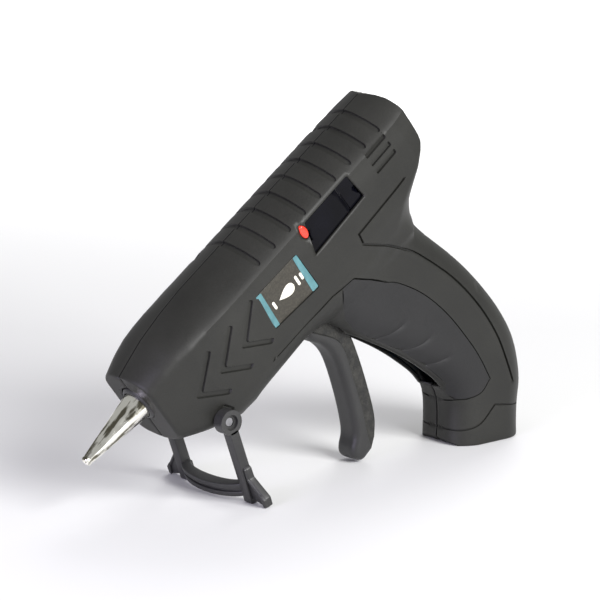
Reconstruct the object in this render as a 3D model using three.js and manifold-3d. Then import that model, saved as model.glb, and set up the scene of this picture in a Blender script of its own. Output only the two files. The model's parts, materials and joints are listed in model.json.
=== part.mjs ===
// Cordless hot-melt glue gun, standing on its folded-down stand and on the flat end of its grip.
// Millimetres. Row frame: +Z up, nozzle towards -X, the gun's left side faces -Y, symmetric about y = 0.
// Everything is laid out in the barrel's own frame and then tilted as one group:
// x runs backwards along the barrel from the nose face, z is square to the barrel, y is across.
import * as THREE from 'three';
import { mergeVertices } from 'three/addons/utils/BufferGeometryUtils.js';
import Module from 'manifold-3d';

const wasm = await Module();
wasm.setup();

// ---- driving dimensions -------------------------------------------------------------------------

const TILT = THREE.MathUtils.degToRad(37.1);
const AXIS_HEIGHT = 43.5;
const ORIGIN_X = 87.64;

const CLEARANCE = 0.3;
const PARTING_GAP = 0.15;

const BARREL = {
  length: 164, halfWidth: 21.5, noseHalfWidth: 15.2, rearHalfWidth: 18.5, taper: 45,
  top: 22.6, shoulder: 13.5, sideFoot: -21.5, belly: -36, noseTop: 15.6, noseFoot: -19.3, wall: 2.6,
};
const GRIP = { halfWidth: 16.5, round: 11, wall: 4.5, pad: 2 };
const STICK = { radius: 5.5, bore: 6.1 };
const NOZZLE = { length: 32.7, tipRadius: 2.3, baseRadius: 5.8, stemRadius: 4, stemEnd: 11.5, bore: 2.8 };
const CHAMBER = { front: 4.5, rear: 52, radius: 8.5, spigot: 7, spigotStart: 44.5 };
const SLEEVE = { rear: 60, radius: 9.2 };
const CARRIAGE = { front: 70, rear: 94, halfWidth: 8.2, top: 8.6, foot: -9.4, driveHeight: -7 };
const TRIGGER = { x: 83, z: -26.5, pin: 2.2, halfWidth: 6.5, hub: 5.5, tineInner: 8.6, tineOuter: 11.1 };
const STAND = {
  x: 18.2, z: -23.3, lean: THREE.MathUtils.degToRad(17.7), inner: 19.2, outer: 24.2, reach: 38.1, bulge: 9,
};
const CELL = { radius: 9.2, length: 65, x: 136, z: -61, lean: THREE.MathUtils.degToRad(4.4) };
const SOCKET = {
  x: 143.2, z: -141, turn: THREE.MathUtils.degToRad(43.5), length: 7.5, width: 9, height: 3.2,
};
const BUTTON = { x: 93.2, z: 10.4, halfLength: 2.1, halfHeight: 3.3, proud: 0.8, depth: 3.9 };
const SCREW = { head: 2.8, headHeight: 2, shank: 1.4, length: 22, seat: 12.5, boss: 3.9 };
const SCREWS = [[34, -27], [63, 16.8], [141, 16.2], [140, -19.5], [114, -33], [118, -134]];

const WINDOW = [[96.2, 13], [124.2, 13.2], [125.6, 0.2], [92.1, -1.4]];
const BADGE = [[60.4, 6.9], [58.6, -11], [85.7, -13.2], [85.1, 6.4]];
const GROOVES = { count: 9, first: 68.8, pitch: 9.85, width: 2.6, depth: 0.8, foot: 17.6 };
const CHEVRONS = {
  count: 3, apexX: 13.2, apexZ: -4.5, pitch: 14, rise: [14.6, 13.2], fall: [12.3, -9.6], width: 3,
};
const VENTS = { x: 142.4, z: [12.9, 8.4, 4], length: 13, height: 2, depth: 1 };

// ---- solids -------------------------------------------------------------------------------------

function toSolid(geometry) {
  const bare = geometry.clone();
  bare.deleteAttribute('normal');
  bare.deleteAttribute('uv');
  const merged = mergeVertices(bare, 1e-4);
  const mesh = new wasm.Mesh({
    numProp: 3,
    vertProperties: new Float32Array(merged.attributes.position.array),
    triVerts: new Uint32Array(merged.index.array),
  });
  return new wasm.Manifold(mesh);
}

function toGeometry(solid) {
  const mesh = solid.getMesh();
  const geometry = new THREE.BufferGeometry();
  geometry.setAttribute('position', new THREE.BufferAttribute(new Float32Array(mesh.vertProperties), 3));
  geometry.setIndex(new THREE.BufferAttribute(new Uint32Array(mesh.triVerts), 1));
  return geometry;
}

const joined = (first, ...others) => others.reduce((sum, next) => sum.add(next), first);
const cut = (first, ...others) => others.reduce((rest, next) => rest.subtract(next), first);
const vectors = (pairs) => pairs.map(([a, b]) => new THREE.Vector2(a, b));
const pairsOf = (points) => points.map((point) => [point.x, point.y]);
const smooth = (pairs, steps) => pairsOf(new THREE.SplineCurve(vectors(pairs)).getPoints(steps));
const mirrorWidth = (pairs) => [...pairs, ...pairs.map(([a, b]) => [a, -b]).reverse()];

// Moves every edge of a closed outline inwards by the same distance.
function inset(pairs, distance) {
  const points = vectors(pairs);
  if (THREE.ShapeUtils.isClockWise(points)) points.reverse();
  return points.map((point, i) => {
    const before = point.clone().sub(points.at(i - 1)).normalize();
    const after = points[(i + 1) % points.length].clone().sub(point).normalize();
    const sum = new THREE.Vector2(-before.y - after.y, before.x + after.x);
    const step = sum.multiplyScalar(distance / (1 + before.dot(after)));
    return [point.x + step.x, point.y + step.y];
  });
}

// An outline in the side view, (x, z), carried across from y = from to y = to.
function sidePrism(pairs, from, to) {
  const outline = new THREE.Shape(vectors(pairs));
  const geometry = new THREE.ExtrudeGeometry(outline, { depth: to - from, bevelEnabled: false });
  return toSolid(geometry.rotateX(Math.PI / 2).translate(0, to, 0));
}

// The same with its edges rounded over on both sides.
function roundedSlab(pairs, halfWidth, round, segments) {
  const geometry = new THREE.ExtrudeGeometry(new THREE.Shape(vectors(pairs)), {
    depth: 2 * (halfWidth - round), bevelThickness: round, bevelSize: round, bevelOffset: -round,
    bevelSegments: segments,
  });
  return toSolid(geometry.rotateX(Math.PI / 2).translate(0, halfWidth - round, 0));
}

function box(x, y, z) {
  const geometry = new THREE.BoxGeometry(x[1] - x[0], y[1] - y[0], z[1] - z[0]);
  return toSolid(geometry.translate((x[0] + x[1]) / 2, (y[0] + y[1]) / 2, (z[0] + z[1]) / 2));
}

function crossPin(x, z, radius, from, to, sides = 14) {
  const geometry = new THREE.CylinderGeometry(radius, radius, to - from, sides);
  return toSolid(geometry.translate(x, (from + to) / 2, z));
}

// A profile of [x, radius] pairs turned about the barrel's axis.
function turned(profile, sides = 20) {
  const points = vectors(profile.map(([x, radius]) => [radius, x]));
  if (THREE.ShapeUtils.isClockWise(points)) points.reverse();
  points.push(points[0].clone());
  return toSolid(new THREE.LatheGeometry(points, sides).rotateZ(-Math.PI / 2));
}

const ring = (from, to, inner, outer) => turned([[from, inner], [from, outer], [to, outer], [to, inner]]);

function rod(from, to, radius, sides = 24) {
  const geometry = new THREE.CylinderGeometry(radius, radius, to - from, sides);
  return toSolid(geometry.rotateZ(Math.PI / 2).translate((from + to) / 2, 0, 0));
}

// An outline seen from the front, (y, z), carried backwards from x = from to x = to.
function frontGeometry(shape, from, to, curveSegments = 7) {
  const geometry = new THREE.ExtrudeGeometry(shape, { depth: to - from, bevelEnabled: false, curveSegments });
  const turn = new THREE.Matrix4().makeBasis(
    new THREE.Vector3(0, 1, 0), new THREE.Vector3(0, 0, 1), new THREE.Vector3(1, 0, 0));
  return geometry.applyMatrix4(turn).translate(from, 0, 0);
}

const frontPrism = (pairs, from, to) => toSolid(frontGeometry(new THREE.Shape(vectors(pairs)), from, to));

function tube(curve, radius, steps, sides) {
  const circle = new THREE.EllipseCurve(0, 0, radius, radius).getPoints(sides).slice(0, sides);
  return new THREE.ExtrudeGeometry(new THREE.Shape(circle), { steps, extrudePath: curve });
}

class Coil extends THREE.Curve {
  constructor(radius, from, to, turns, y, z) {
    super();
    Object.assign(this, { radius, from, to, turns, y, z });
  }

  getPoint(t) {
    const angle = 2 * Math.PI * this.turns * t;
    const x = THREE.MathUtils.lerp(this.from, this.to, t);
    const [across, up] = [this.radius * Math.cos(angle), this.radius * Math.sin(angle)];
    return new THREE.Vector3(x, this.y + across, this.z + up);
  }
}

// ---- assembly -----------------------------------------------------------------------------------

const gun = new THREE.Group();
const barrelFrame = new THREE.Group();
barrelFrame.rotation.y = -TILT;
barrelFrame.position.set(-ORIGIN_X, 0, AXIS_HEIGHT);
gun.add(barrelFrame);

function finish(color, roughness, metalness = 0) {
  return new THREE.MeshStandardMaterial({ color, roughness, metalness });
}

const housingPlastic = () => finish(0x2b2b2a, 0.5);
const blackPlastic = () => finish(0x1d1e20, 0.5);
const softRubber = () => finish(0x232325, 0.75);
const steel = () => finish(0xb4b6ba, 0.35, 1);

function place(name, shape, material, parent = barrelFrame) {
  const geometry = shape.isBufferGeometry ? shape : toGeometry(shape);
  const mesh = new THREE.Mesh(geometry, material);
  mesh.name = name;
  parent.add(mesh);
  return mesh;
}

// ---- body halves --------------------------------------------------------------------------------

// The barrel is what its front view, side view and plan have in common, each drawn in by `depth`.
function barrelSolid(depth) {
  const b = BARREL;
  const section = new THREE.Shape();
  const edge = b.halfWidth - 1 - depth;
  section.absellipse(0, b.shoulder, edge, b.top - b.shoulder - depth, 0, Math.PI);
  section.lineTo(-b.halfWidth + depth, 2);
  section.lineTo(-b.halfWidth + depth, -12);
  section.absellipse(0, b.sideFoot, edge, b.sideFoot - b.belly - depth, Math.PI, 2 * Math.PI);
  section.lineTo(b.halfWidth - depth, -12);
  section.lineTo(b.halfWidth - depth, 2);
  const side = [
    [0, b.noseTop], [17, 20], [43, b.top], [b.length - 4, b.top], [b.length - 0.8, b.top - 2.5],
    [b.length, 12], [b.length, -5], [159, -15], [147, -30], [140, -40], [100, -40], [71, -35],
    [50, b.belly], [37, b.belly], [28, -34.3], [12, -26], [0, b.noseFoot],
  ];
  const plan = mirrorWidth([
    [0, b.noseHalfWidth], ...smooth([[10, 17.4], [24, 20.1], [b.taper, b.halfWidth]], 4),
    [140, b.halfWidth], [156, 20.6], [b.length - 1, b.rearHalfWidth], [b.length, b.rearHalfWidth - 2],
  ]);
  const planShape = new THREE.Shape(vectors(inset(plan, depth)));
  const upwards = new THREE.ExtrudeGeometry(planShape, { depth: 80, bevelEnabled: false });
  return toSolid(frontGeometry(section, -10, b.length + 10))
    .intersect(sidePrism(inset(side, depth), -30, 30))
    .intersect(toSolid(upwards.translate(0, 0, -45)));
}

// The banana-shaped grip runs past the floor and is cut off flat by it.
const gripFront = smooth([
  [88.9, -47], [95, -57.5], [104.3, -76], [110, -91], [113.4, -105], [111, -117], [93, -140]], 9);
const gripBack = smooth([
  [128, -168], [142, -146.5], [151, -136], [157.6, -120], [158.8, -103], [157, -84],
  [153.4, -66], [147.4, -46], [145.6, -37], [147.5, -27]], 11);
const gripOutline = [[75.5, -32], [82, -34], [87.5, -41], ...gripFront, ...gripBack, [142, -8], [84, -8]];

// A block whose underside is the plane that the gun stands on, raised by `rise`.
function floorBlock(rise) {
  return new THREE.BoxGeometry(400, 100, 300).translate(100, 0, 150 + rise - AXIS_HEIGHT).rotateY(TILT);
}

function gripSolid(depth) {
  const slab = roundedSlab(inset(gripOutline, depth), GRIP.halfWidth - depth, GRIP.round - depth, 3);
  return slab.intersect(toSolid(floorBlock(depth)));
}

const barrelOuter = barrelSolid(0);
const gripOuter = gripSolid(0);
const triggerSweep = [
  [68.5, -52], [68.5, -28], [106, -28], [109, -60], [113, -85], [118, -104], [113, -109], [85, -80]];
const grooveCore = barrelSolid(GROOVES.depth);

function topGroove(index) {
  const x = GROOVES.first + index * GROOVES.pitch;
  const slab = box([x - GROOVES.width / 2, x + GROOVES.width / 2], [-30, 30], [GROOVES.foot, 30]);
  return slab.subtract(grooveCore);
}

function chevron(index) {
  const [x, z] = [CHEVRONS.apexX + index * CHEVRONS.pitch, CHEVRONS.apexZ];
  const [top, low] = [CHEVRONS.rise, CHEVRONS.fall];
  const outline = [[x, z], [x + low[0], z + low[1]], [x + low[0] + CHEVRONS.width, z + low[1] + 1.5],
    [x + CHEVRONS.width * 1.3, z + 0.2], [x + top[0] + CHEVRONS.width * 0.7, z + top[1] - 1.5],
    [x + top[0], z + top[1]]];
  return sidePrism(outline, -30, 30).subtract(grooveCore);
}

function vent(z) {
  const [from, to] = [VENTS.x - VENTS.length / 2, VENTS.x + VENTS.length / 2];
  const slot = box([from, to], [-30, 30], [z - VENTS.height / 2, z + VENTS.height / 2]);
  return slot.subtract(barrelSolid(VENTS.depth));
}

function oval(grow) {
  const [across, up] = [BUTTON.halfLength + grow, BUTTON.halfHeight + grow];
  return pairsOf(new THREE.EllipseCurve(BUTTON.x, BUTTON.z, across, up).getPoints(16).slice(0, 16));
}

const padOutline = [[94, -50], [104, -40.5], [114.5, -40.5],
  ...smooth([[117.5, -44.5], [123.5, -58], [127.2, -77], [127.8, -95], [126.3, -110], [123, -124]], 7),
  [112, -121.5], [115.5, -116], [117, -108], [113.6, -92], [108, -77.5], [99.5, -60]];
const padSkin = gripOuter.subtract(gripSolid(GRIP.pad));
const padPocket = gripSolid(-1).subtract(gripSolid(GRIP.pad + CLEARANCE));
const badgeDepth = BARREL.halfWidth - 1.1;

const shell = cut(
  joined(barrelOuter, gripOuter),
  barrelSolid(BARREL.wall),
  gripSolid(GRIP.wall),
  sidePrism(triggerSweep, -TRIGGER.halfWidth - 0.7, TRIGGER.halfWidth + 0.7),
  ...Array.from({ length: GROOVES.count }, (_, i) => topGroove(i)),
  ...Array.from({ length: CHEVRONS.count }, (_, i) => chevron(i)),
  ...VENTS.z.map(vent),
  sidePrism(WINDOW, -30, 30),
  sidePrism(BADGE, -30, -badgeDepth),
  sidePrism(BADGE, badgeDepth, 30),
  padPocket.intersect(sidePrism(padOutline, -30, 30)),
);

// Rails that the feed carriage's lugs run between, and the posts round the trigger and stand pins.
const rails = [-3.1, 3.1].map((z) => box([61, 80], [-19.5, 19.5], [z - 0.7, z + 0.7]));
const railGap = box([60, 81], [-11.7, 11.7], [-5, 5]);
const pinPosts = [
  crossPin(TRIGGER.x, TRIGGER.z, 4.6, -19.5, 19.5).subtract(box([76, 90], [-11.5, 11.5], [-35, -20])),
  crossPin(STAND.x, STAND.z, 4.2, -15, 15).subtract(box([12, 24], [-5, 5], [-30, -17])),
];
const springPost = crossPin(123.5, -8.5, 2, 9.5, 20);
const ledges = box([148, 153], [-19, 19], [-12, -9.2]);
const standStop = box([15, 26], [-12, 12], [-33.5, -25]);
const innerLimit = joined(barrelSolid(1), gripSolid(GRIP.pad + 0.6));
const innerParts = joined(...rails.map((rail) => rail.subtract(railGap)), ...pinPosts, springPost, ledges)
  .intersect(innerLimit);

const throughHoles = joined(
  turned([[-2, 0], [-2, 8.6], [6, 8.6], [6, 0]]),
  rod(155, 170, 8.3),
  crossPin(TRIGGER.x, TRIGGER.z, TRIGGER.pin + CLEARANCE, -17, 17),
  crossPin(TRIGGER.x, TRIGGER.z, TRIGGER.hub + 0.7, -11.5, 11.5, 20),
  crossPin(STAND.x, STAND.z, 2.05, -30, 30),
  crossPin(STAND.x, STAND.z, 5.8, -30, -18.9, 20),
  crossPin(STAND.x, STAND.z, 5.8, 18.9, 30, 20),
);

function screwPost(x, z) {
  return crossPin(x, z, SCREW.boss, -20.5, 20.5, 10).intersect(innerLimit);
}

function screwHole(x, z) {
  const shank = crossPin(x, z, SCREW.shank + CLEARANCE, SCREW.seat - SCREW.length, SCREW.seat + 1, 10);
  return shank.add(crossPin(x, z, SCREW.head + CLEARANCE, SCREW.seat, 30, 10));
}

function socketBlock(grow, from, to) {
  const block = new THREE.BoxGeometry(to - from, SOCKET.width + 2 * grow, SOCKET.height + 2 * grow);
  block.translate((from + to) / 2, 0, 0).rotateY(SOCKET.turn);
  return toSolid(block.translate(SOCKET.x, 0, SOCKET.z));
}

const body = cut(
  joined(shell, standStop, innerParts, ...SCREWS.map(([x, z]) => screwPost(x, z))),
  throughHoles,
  ...SCREWS.map(([x, z]) => screwHole(x, z)),
  socketBlock(CLEARANCE, -9, 20),
);
const leftHalf = body.intersect(box([-50, 250], [-60, -PARTING_GAP], [-250, 60]));
const rightHalf = body.intersect(box([-50, 250], [PARTING_GAP, 60], [-250, 60]));
place('left_housing', leftHalf.subtract(sidePrism(oval(CLEARANCE), -30, -16)), housingPlastic());
place('right_housing', rightHalf, housingPlastic());

const pads = padSkin.intersect(sidePrism(inset(padOutline, CLEARANCE), -30, 30));
place('left_grip_pad', pads.intersect(box([60, 200], [-60, -9], [-200, 0])), softRubber());
place('right_grip_pad', pads.intersect(box([60, 200], [9, 60], [-200, 0])), softRubber());

for (const [side, sign] of [['left', -1], ['right', 1]]) {
  const span = (near, far) => [Math.min(sign * near, sign * far), Math.max(sign * near, sign * far)];
  const lens = sidePrism(inset(WINDOW, CLEARANCE), ...span(19, 20.3));
  const opening = sign < 0 ? lens.subtract(sidePrism(oval(CLEARANCE), -30, 0)) : lens;
  place(`${side}_window`, opening, finish(0x0d0d18, 0.1));
  const plate = sidePrism(inset(BADGE, CLEARANCE), ...span(badgeDepth + 0.25, 21.4));
  place(`${side}_badge`, plate, finish(0x4a463a, 0.4));
}

for (const [index, [x, z]] of SCREWS.entries()) {
  const underHead = SCREW.seat + CLEARANCE;
  const head = crossPin(x, z, SCREW.head, underHead, underHead + SCREW.headHeight, 10);
  const shank = crossPin(x, z, SCREW.shank, SCREW.seat - SCREW.length + 1, SCREW.seat + 1, 8);
  const socket = crossPin(x, z, 1.1, SCREW.seat + 1.3, 30, 6);
  place(`housing_screw_${index + 1}`, head.add(shank).subtract(socket), steel());
}

// ---- nozzle and drip valve ----------------------------------------------------------------------

const n = NOZZLE;
place('nozzle', turned([
  [-n.length, 0.9], [-n.length, n.tipRadius - 0.5], [-n.length + 0.6, n.tipRadius], [0, n.baseRadius],
  [3.6, n.baseRadius], [3.6, n.stemRadius], [n.stemEnd, n.stemRadius], [n.stemEnd, n.bore],
  [-6, n.bore], [-9, 1.4], [-n.length + 4, 0.9],
]), finish(0xd8d8d6, 0.15, 1));
const collarProfile = [[-0.8, 6.2], [-0.8, 7.4], [0.2, 8.3], [3.4, 8.3], [3.4, 6.2]];
place('nozzle_collar', turned(collarProfile), blackPlastic());
const ball = new THREE.Mesh(new THREE.SphereGeometry(2.2, 12, 8), steel());
ball.name = 'valve_ball';
ball.position.set(9.4, 0, 0);
barrelFrame.add(ball);
place('valve_spring', tube(new Coil(2, -4.5, 6.6, 4, 0, 0), 0.3, 32, 4), steel());

// ---- melt chamber, heater and inlet sleeve ------------------------------------------------------

const c = CHAMBER;
const chamberBody = turned([
  [c.front, n.stemRadius + CLEARANCE], [c.front, c.radius],
  [c.spigotStart, c.radius], [c.spigotStart, c.spigot],
  [c.rear, c.spigot], [c.rear, STICK.bore - 0.4], [26, STICK.bore - 0.4], [15, 1.7], [12, 1.7],
  [12, n.stemRadius + CLEARANCE],
]);
const heaterBlock = box([14, 43], [-6.5, 6.5], [-15.5, -6]).subtract(rod(13, 44, c.radius - 1));
const heaterSlot = box([13, 44.2], [-5, 5], [-13.6, -9.4]);
place('melt_chamber', joined(chamberBody, heaterBlock).subtract(heaterSlot), finish(0xa9aaad, 0.4, 1));
place('heater_cartridge', box([15, 44], [-4.7, 4.7], [-13.3, -9.7]), finish(0xd9d4c6, 0.6));
const clipOutline = [
  [-8.6, -4.5], [-8.6, -17.2], [8.6, -17.2], [8.6, -4.5],
  [7.6, -4.5], [7.6, -16.2], [-7.6, -16.2], [-7.6, -4.5]];
const clip = frontPrism(clipOutline, 22, 36);
place('heater_clip', clip.subtract(rod(20, 40, c.radius + CLEARANCE)), steel());
place('inlet_sleeve', turned([
  [c.spigotStart + 0.4, c.spigot + CLEARANCE], [c.spigotStart + 0.4, SLEEVE.radius],
  [SLEEVE.rear, SLEEVE.radius],
  [SLEEVE.rear, STICK.bore + 1], [c.rear + 4, STICK.bore - 0.3], [c.rear + CLEARANCE, STICK.bore - 0.3],
  [c.rear + CLEARANCE, c.spigot + CLEARANCE],
]), finish(0xb5462f, 0.6));
place('sleeve_clamp', ring(46.5, 49.5, SLEEVE.radius + CLEARANCE, SLEEVE.radius + 1.1), steel());
place('stick_guide', turned([
  [149, STICK.bore], [149, 7.9], [163.5, 7.9], [164.3, 7.9], [164.3, 9.2], [165.6, 9.2], [166, 8.6],
  [166, STICK.bore + 1], [162, STICK.bore],
]), blackPlastic());

// ---- feed carriage and stick gripper ------------------------------------------------------------

const f = CARRIAGE;
const carriageBlock = box([f.front, f.rear], [-f.halfWidth, f.halfWidth], [f.foot, f.top]);
const carriageEars = box([86, 92], [-7, 7], [-14.5, f.foot + 0.5]);
const carriageLugs = box([f.front, f.front + 6], [-13.4, 13.4], [-2, 2]);
const springLug = box([90, f.rear], [f.halfWidth - 1, 13.5], [-11, -6]);
const drivePins = crossPin(TRIGGER.x, f.driveHeight, 1.6, -11.6, 11.6, 12);
const jawSlot = box([77, 95], [-3.8, 3.8], [-20, -3]);
place('feed_carriage', cut(
  joined(carriageBlock, carriageEars, carriageLugs, springLug, drivePins),
  rod(f.front - 1, f.rear + 1, STICK.bore),
  jawSlot,
  box([76, 88], [-3.8, 3.8], [4, 12]),
  crossPin(89, -11.8, 1.5, -8, 8, 12),
), finish(0xe6e2d6, 0.5));
const gripper = [[78.5, -9.4], [80, -7], [81, -5.9], [82, -7.2], [83, -6], [84, -7.2], [85, -6.1], [86.5, -8],
  [90.5, -8.8], [92.3, -11.2], [91, -14.2], [87.5, -14.4], [85, -12], [80, -11.5]];
place('stick_gripper', sidePrism(gripper, -3.4, 3.4).subtract(crossPin(89, -11.8, 1.5, -5, 5, 12)), steel());
place('gripper_pin', crossPin(89, -11.8, 1.2, -8, 8, 12), steel());
place('carriage_spring', tube(new Coil(2.1, f.rear + 0.8, 120.8, 7, 11.3, -8.5), 0.4, 56, 4), steel());

// ---- trigger ------------------------------------------------------------------------------------

const t = TRIGGER;
const leverOutline = [
  [73, -30.5],
  ...smooth([[76.3, -41], [79.8, -47.5], [80.3, -57], [75.4, -74], [69, -89], [63.6, -94], [61.6, -97.6],
    [65.5, -102.6]], 12),
  [71.5, -102.2],
  ...smooth([[76, -99], [81, -92.5], [85, -83], [90, -67.5], [93.2, -54], [93.6, -45], [90, -30]], 9),
  [87, -22.5], [79, -22.5],
];
const lever = roundedSlab(leverOutline, t.halfWidth, 2.2, 3);
const tineOutline = [[t.x - 4.2, t.z + 2], [t.x - 4.2, -3.5], [t.x - 2.4, -3.5], [t.x - 2.4, -9.6],
  [t.x + 2.4, -9.6], [t.x + 2.4, -3.5], [t.x + 4.2, -3.5], [t.x + 4.2, t.z + 2]];
const tines = sidePrism(tineOutline, -t.tineOuter, t.tineOuter)
  .subtract(box([70, 95], [-t.tineInner, t.tineInner], [-19.5, 0]));
const hub = crossPin(t.x, t.z, t.hub, -t.tineOuter, t.tineOuter, 20);
place('trigger', cut(
  joined(lever, hub, tines),
  crossPin(t.x, t.z, t.pin + CLEARANCE, -20, 20),
  box([60, 100], [-4, 4], [-20, -8]),
), blackPlastic());
place('trigger_pin', crossPin(t.x, t.z, t.pin, -16.4, 16.4), steel());

// ---- stand --------------------------------------------------------------------------------------

// Drawn hanging straight down from its pivot, then leant forward: x forward is negative, z is down the arms.
const s = STAND;
const standFrame = new THREE.Group();
standFrame.position.set(s.x, 0, s.z);
standFrame.rotation.y = s.lean;
barrelFrame.add(standFrame);

function standArm(sign) {
  const [near, far] = sign < 0 ? [-s.outer, -s.inner] : [s.inner, s.outer];
  const arm = box([-2.4, 2.2], [near, far], [-s.reach + 0.5, 0]);
  const boss = crossPin(0, 0, 5.2, near, far, 20);
  const wing = [[s.inner, -18.5], [s.outer, -20.5], [25.4, -21.6], [25.6, -26], [33, -33.6], [32.8, -s.reach],
    [31, -s.reach], [22, -35.2], [s.inner, -35.2]].map(([y, z]) => [sign * y, z]);
  return joined(arm, boss, frontPrism(wing, -1, 2.2));
}

// A shelf that bulges forward between the feet, with a groove round its edge.
function standShelf(grow, from, to) {
  const outline = new THREE.Shape();
  outline.absellipse(0, 0, s.inner + 3 + grow, STAND.bulge + grow, 0, Math.PI);
  const options = { depth: to - from, bevelEnabled: false, curveSegments: 10 };
  const geometry = new THREE.ExtrudeGeometry(outline, options);
  return toSolid(geometry.rotateZ(Math.PI / 2).translate(1.5, 0, from));
}

const shelf = cut(
  standShelf(0, -34.4, -28.6),
  standShelf(-5, -50, -20),
  standShelf(5, -32.2, -30.8).subtract(standShelf(-1, -33, -30)),
);
const standingRoom = toSolid(floorBlock(0).translate(-s.x, 0, -s.z).rotateY(-s.lean));
place('stand', joined(standArm(-1), standArm(1), shelf).intersect(standingRoom)
  .subtract(crossPin(0, 0, 1.75 + CLEARANCE, -40, 40)), blackPlastic(), standFrame);
place('stand_pin', crossPin(s.x, s.z, 1.75, -22.6, 22.6), steel());

// ---- power button, switch and circuit board -----------------------------------------------------

const buttonFace = -BARREL.halfWidth - BUTTON.proud;
place('power_button', sidePrism(oval(0), buttonFace, buttonFace + BUTTON.depth), finish(0xf5331e, 0.3));
place('power_switch', box([90.6, 95.8], [-17, -14.3], [8, 13]), blackPlastic());
place('circuit_board', box([90, 128], [-14, -12.6], [-3, 14]), finish(0x1f5a35, 0.5));

// ---- cell, contacts, socket and wires -----------------------------------------------------------

const cellFrame = new THREE.Group();
cellFrame.position.set(CELL.x, 0, CELL.z);
cellFrame.rotation.y = CELL.lean;
barrelFrame.add(cellFrame);
const cell = new THREE.CylinderGeometry(CELL.radius, CELL.radius, CELL.length, 24).rotateX(Math.PI / 2);
place('battery_cell', cell.translate(0, 0, -CELL.length / 2), finish(0x2f7fc1, 0.4), cellFrame);
place('cell_contact_top', box([-6, 6], [-5, 5], [0.4, 1.2]), steel(), cellFrame);
const basePlate = box([-6, 6], [-5, 5], [-CELL.length - 1.2, -CELL.length - 0.4]);
place('cell_contact_base', basePlate, steel(), cellFrame);
place('charge_socket', socketBlock(0, -8, -8 + SOCKET.length).subtract(socketBlock(-0.6, -6, 20)), steel());

const WIRES = {
  heater_wire_live: [
    [44.6, 3, -11.5], [52, 12, -17], [64, 15.5, -17], [92, 15.5, -16], [104, 8, -14], [108, -6, -6],
    [108, -12, -5]],
  heater_wire_return: [
    [44.6, -3, -11.5], [52, -12, -17], [64, -15.5, -17], [92, -15.5, -16], [102, -13.4, -8],
    [102, -13.3, -3.6]],
  cell_wire_positive: [
    [136.2, 0, -59.2], [132, -3, -48], [124, -9, -30], [119, -13.3, -12], [118, -13.3, -3.6]],
  cell_wire_negative: [
    [124.3, 0, -128.6], [119.9, 0, -126], [119.2, -1, -116], [118.6, -3, -92], [122, -6, -55],
    [124, -12, -25], [124, -13.3, -3.6]],
};
for (const [name, route] of Object.entries(WIRES)) {
  const curve = new THREE.CatmullRomCurve3(route.map((point) => new THREE.Vector3(...point)));
  const colour = name.endsWith('live') || name.endsWith('positive') ? 0xb3261e : 0x151515;
  place(name, tube(curve, 0.8, 16, 5), finish(colour, 0.5));
}

export default gun;
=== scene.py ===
import json
import math

import bpy
import numpy as np
from mathutils import Matrix, Vector
from mathutils.geometry import delaunay_2d_cdt


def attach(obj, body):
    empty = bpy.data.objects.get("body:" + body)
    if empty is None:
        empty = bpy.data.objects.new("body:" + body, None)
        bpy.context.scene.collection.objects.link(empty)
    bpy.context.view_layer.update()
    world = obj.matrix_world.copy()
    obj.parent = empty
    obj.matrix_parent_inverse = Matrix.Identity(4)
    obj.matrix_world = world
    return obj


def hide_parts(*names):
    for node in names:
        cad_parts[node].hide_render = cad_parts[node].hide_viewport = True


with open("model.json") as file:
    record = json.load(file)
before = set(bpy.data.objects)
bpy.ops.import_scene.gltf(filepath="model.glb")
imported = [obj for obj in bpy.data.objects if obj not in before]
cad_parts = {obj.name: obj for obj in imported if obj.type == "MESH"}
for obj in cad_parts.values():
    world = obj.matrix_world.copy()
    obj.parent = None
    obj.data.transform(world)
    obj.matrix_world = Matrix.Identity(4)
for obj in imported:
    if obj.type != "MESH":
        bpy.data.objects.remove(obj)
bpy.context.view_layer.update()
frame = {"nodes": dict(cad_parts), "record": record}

# ---- camera -------------------------------------------------------------------------------------
# The gun is seen from its front left, a little from above, through a long lens.

camera_data = bpy.data.cameras.new("camera")
camera_data.lens = 180
camera_data.sensor_width = 36
camera_data.clip_end = 20
camera = bpy.data.objects.new("camera", camera_data)
bpy.context.scene.collection.objects.link(camera)
camera_right = Vector((0.7789, -0.6272, 0.0005))
camera_up = Vector((0.1395, 0.1739, 0.9748))
camera_back = camera_right.cross(camera_up).normalized()
camera_up = camera_back.cross(camera_right).normalized()
camera.matrix_world = Matrix.Translation((-0.7657, -0.9451, 0.3518)) @ Matrix(
    (camera_right.normalized(), camera_up, camera_back)).transposed().to_4x4()
bpy.context.scene.camera = camera

# ---- body halves --------------------------------------------------------------------------------
# Two injection-moulded shells in black satin nylon, left and right, screwed together along the
# middle of the gun. Barrel and grip are one moulding, with grooves, panel lines and vents in it.

TILT = math.radians(37.1)
NOSE_X = -87.64
AXIS_HEIGHT = 43.5


def in_row_frame(points):
    """Barrel frame to row frame: turned up by the tilt about y, moved to the nose, mm to metres."""
    x, y, z = np.asarray(points, float).T
    along = x * math.cos(TILT) - z * math.sin(TILT) + NOSE_X
    up = x * math.sin(TILT) + z * math.cos(TILT) + AXIS_HEIGHT
    return np.stack([along, y, up], 1) / 1000


def at_width(flat, y):
    """Points of the side view, [x, z], set at a width: [x, y, z]."""
    return np.insert(flat, 1, y, axis=1)


def circle(count, radius=1.0):
    """Points round a circle: the radius times the cosine and the sine of equal turns."""
    t = np.linspace(0, 2 * math.pi, count, endpoint=False)
    return radius * np.stack([np.cos(t), np.sin(t)], 1)


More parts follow.
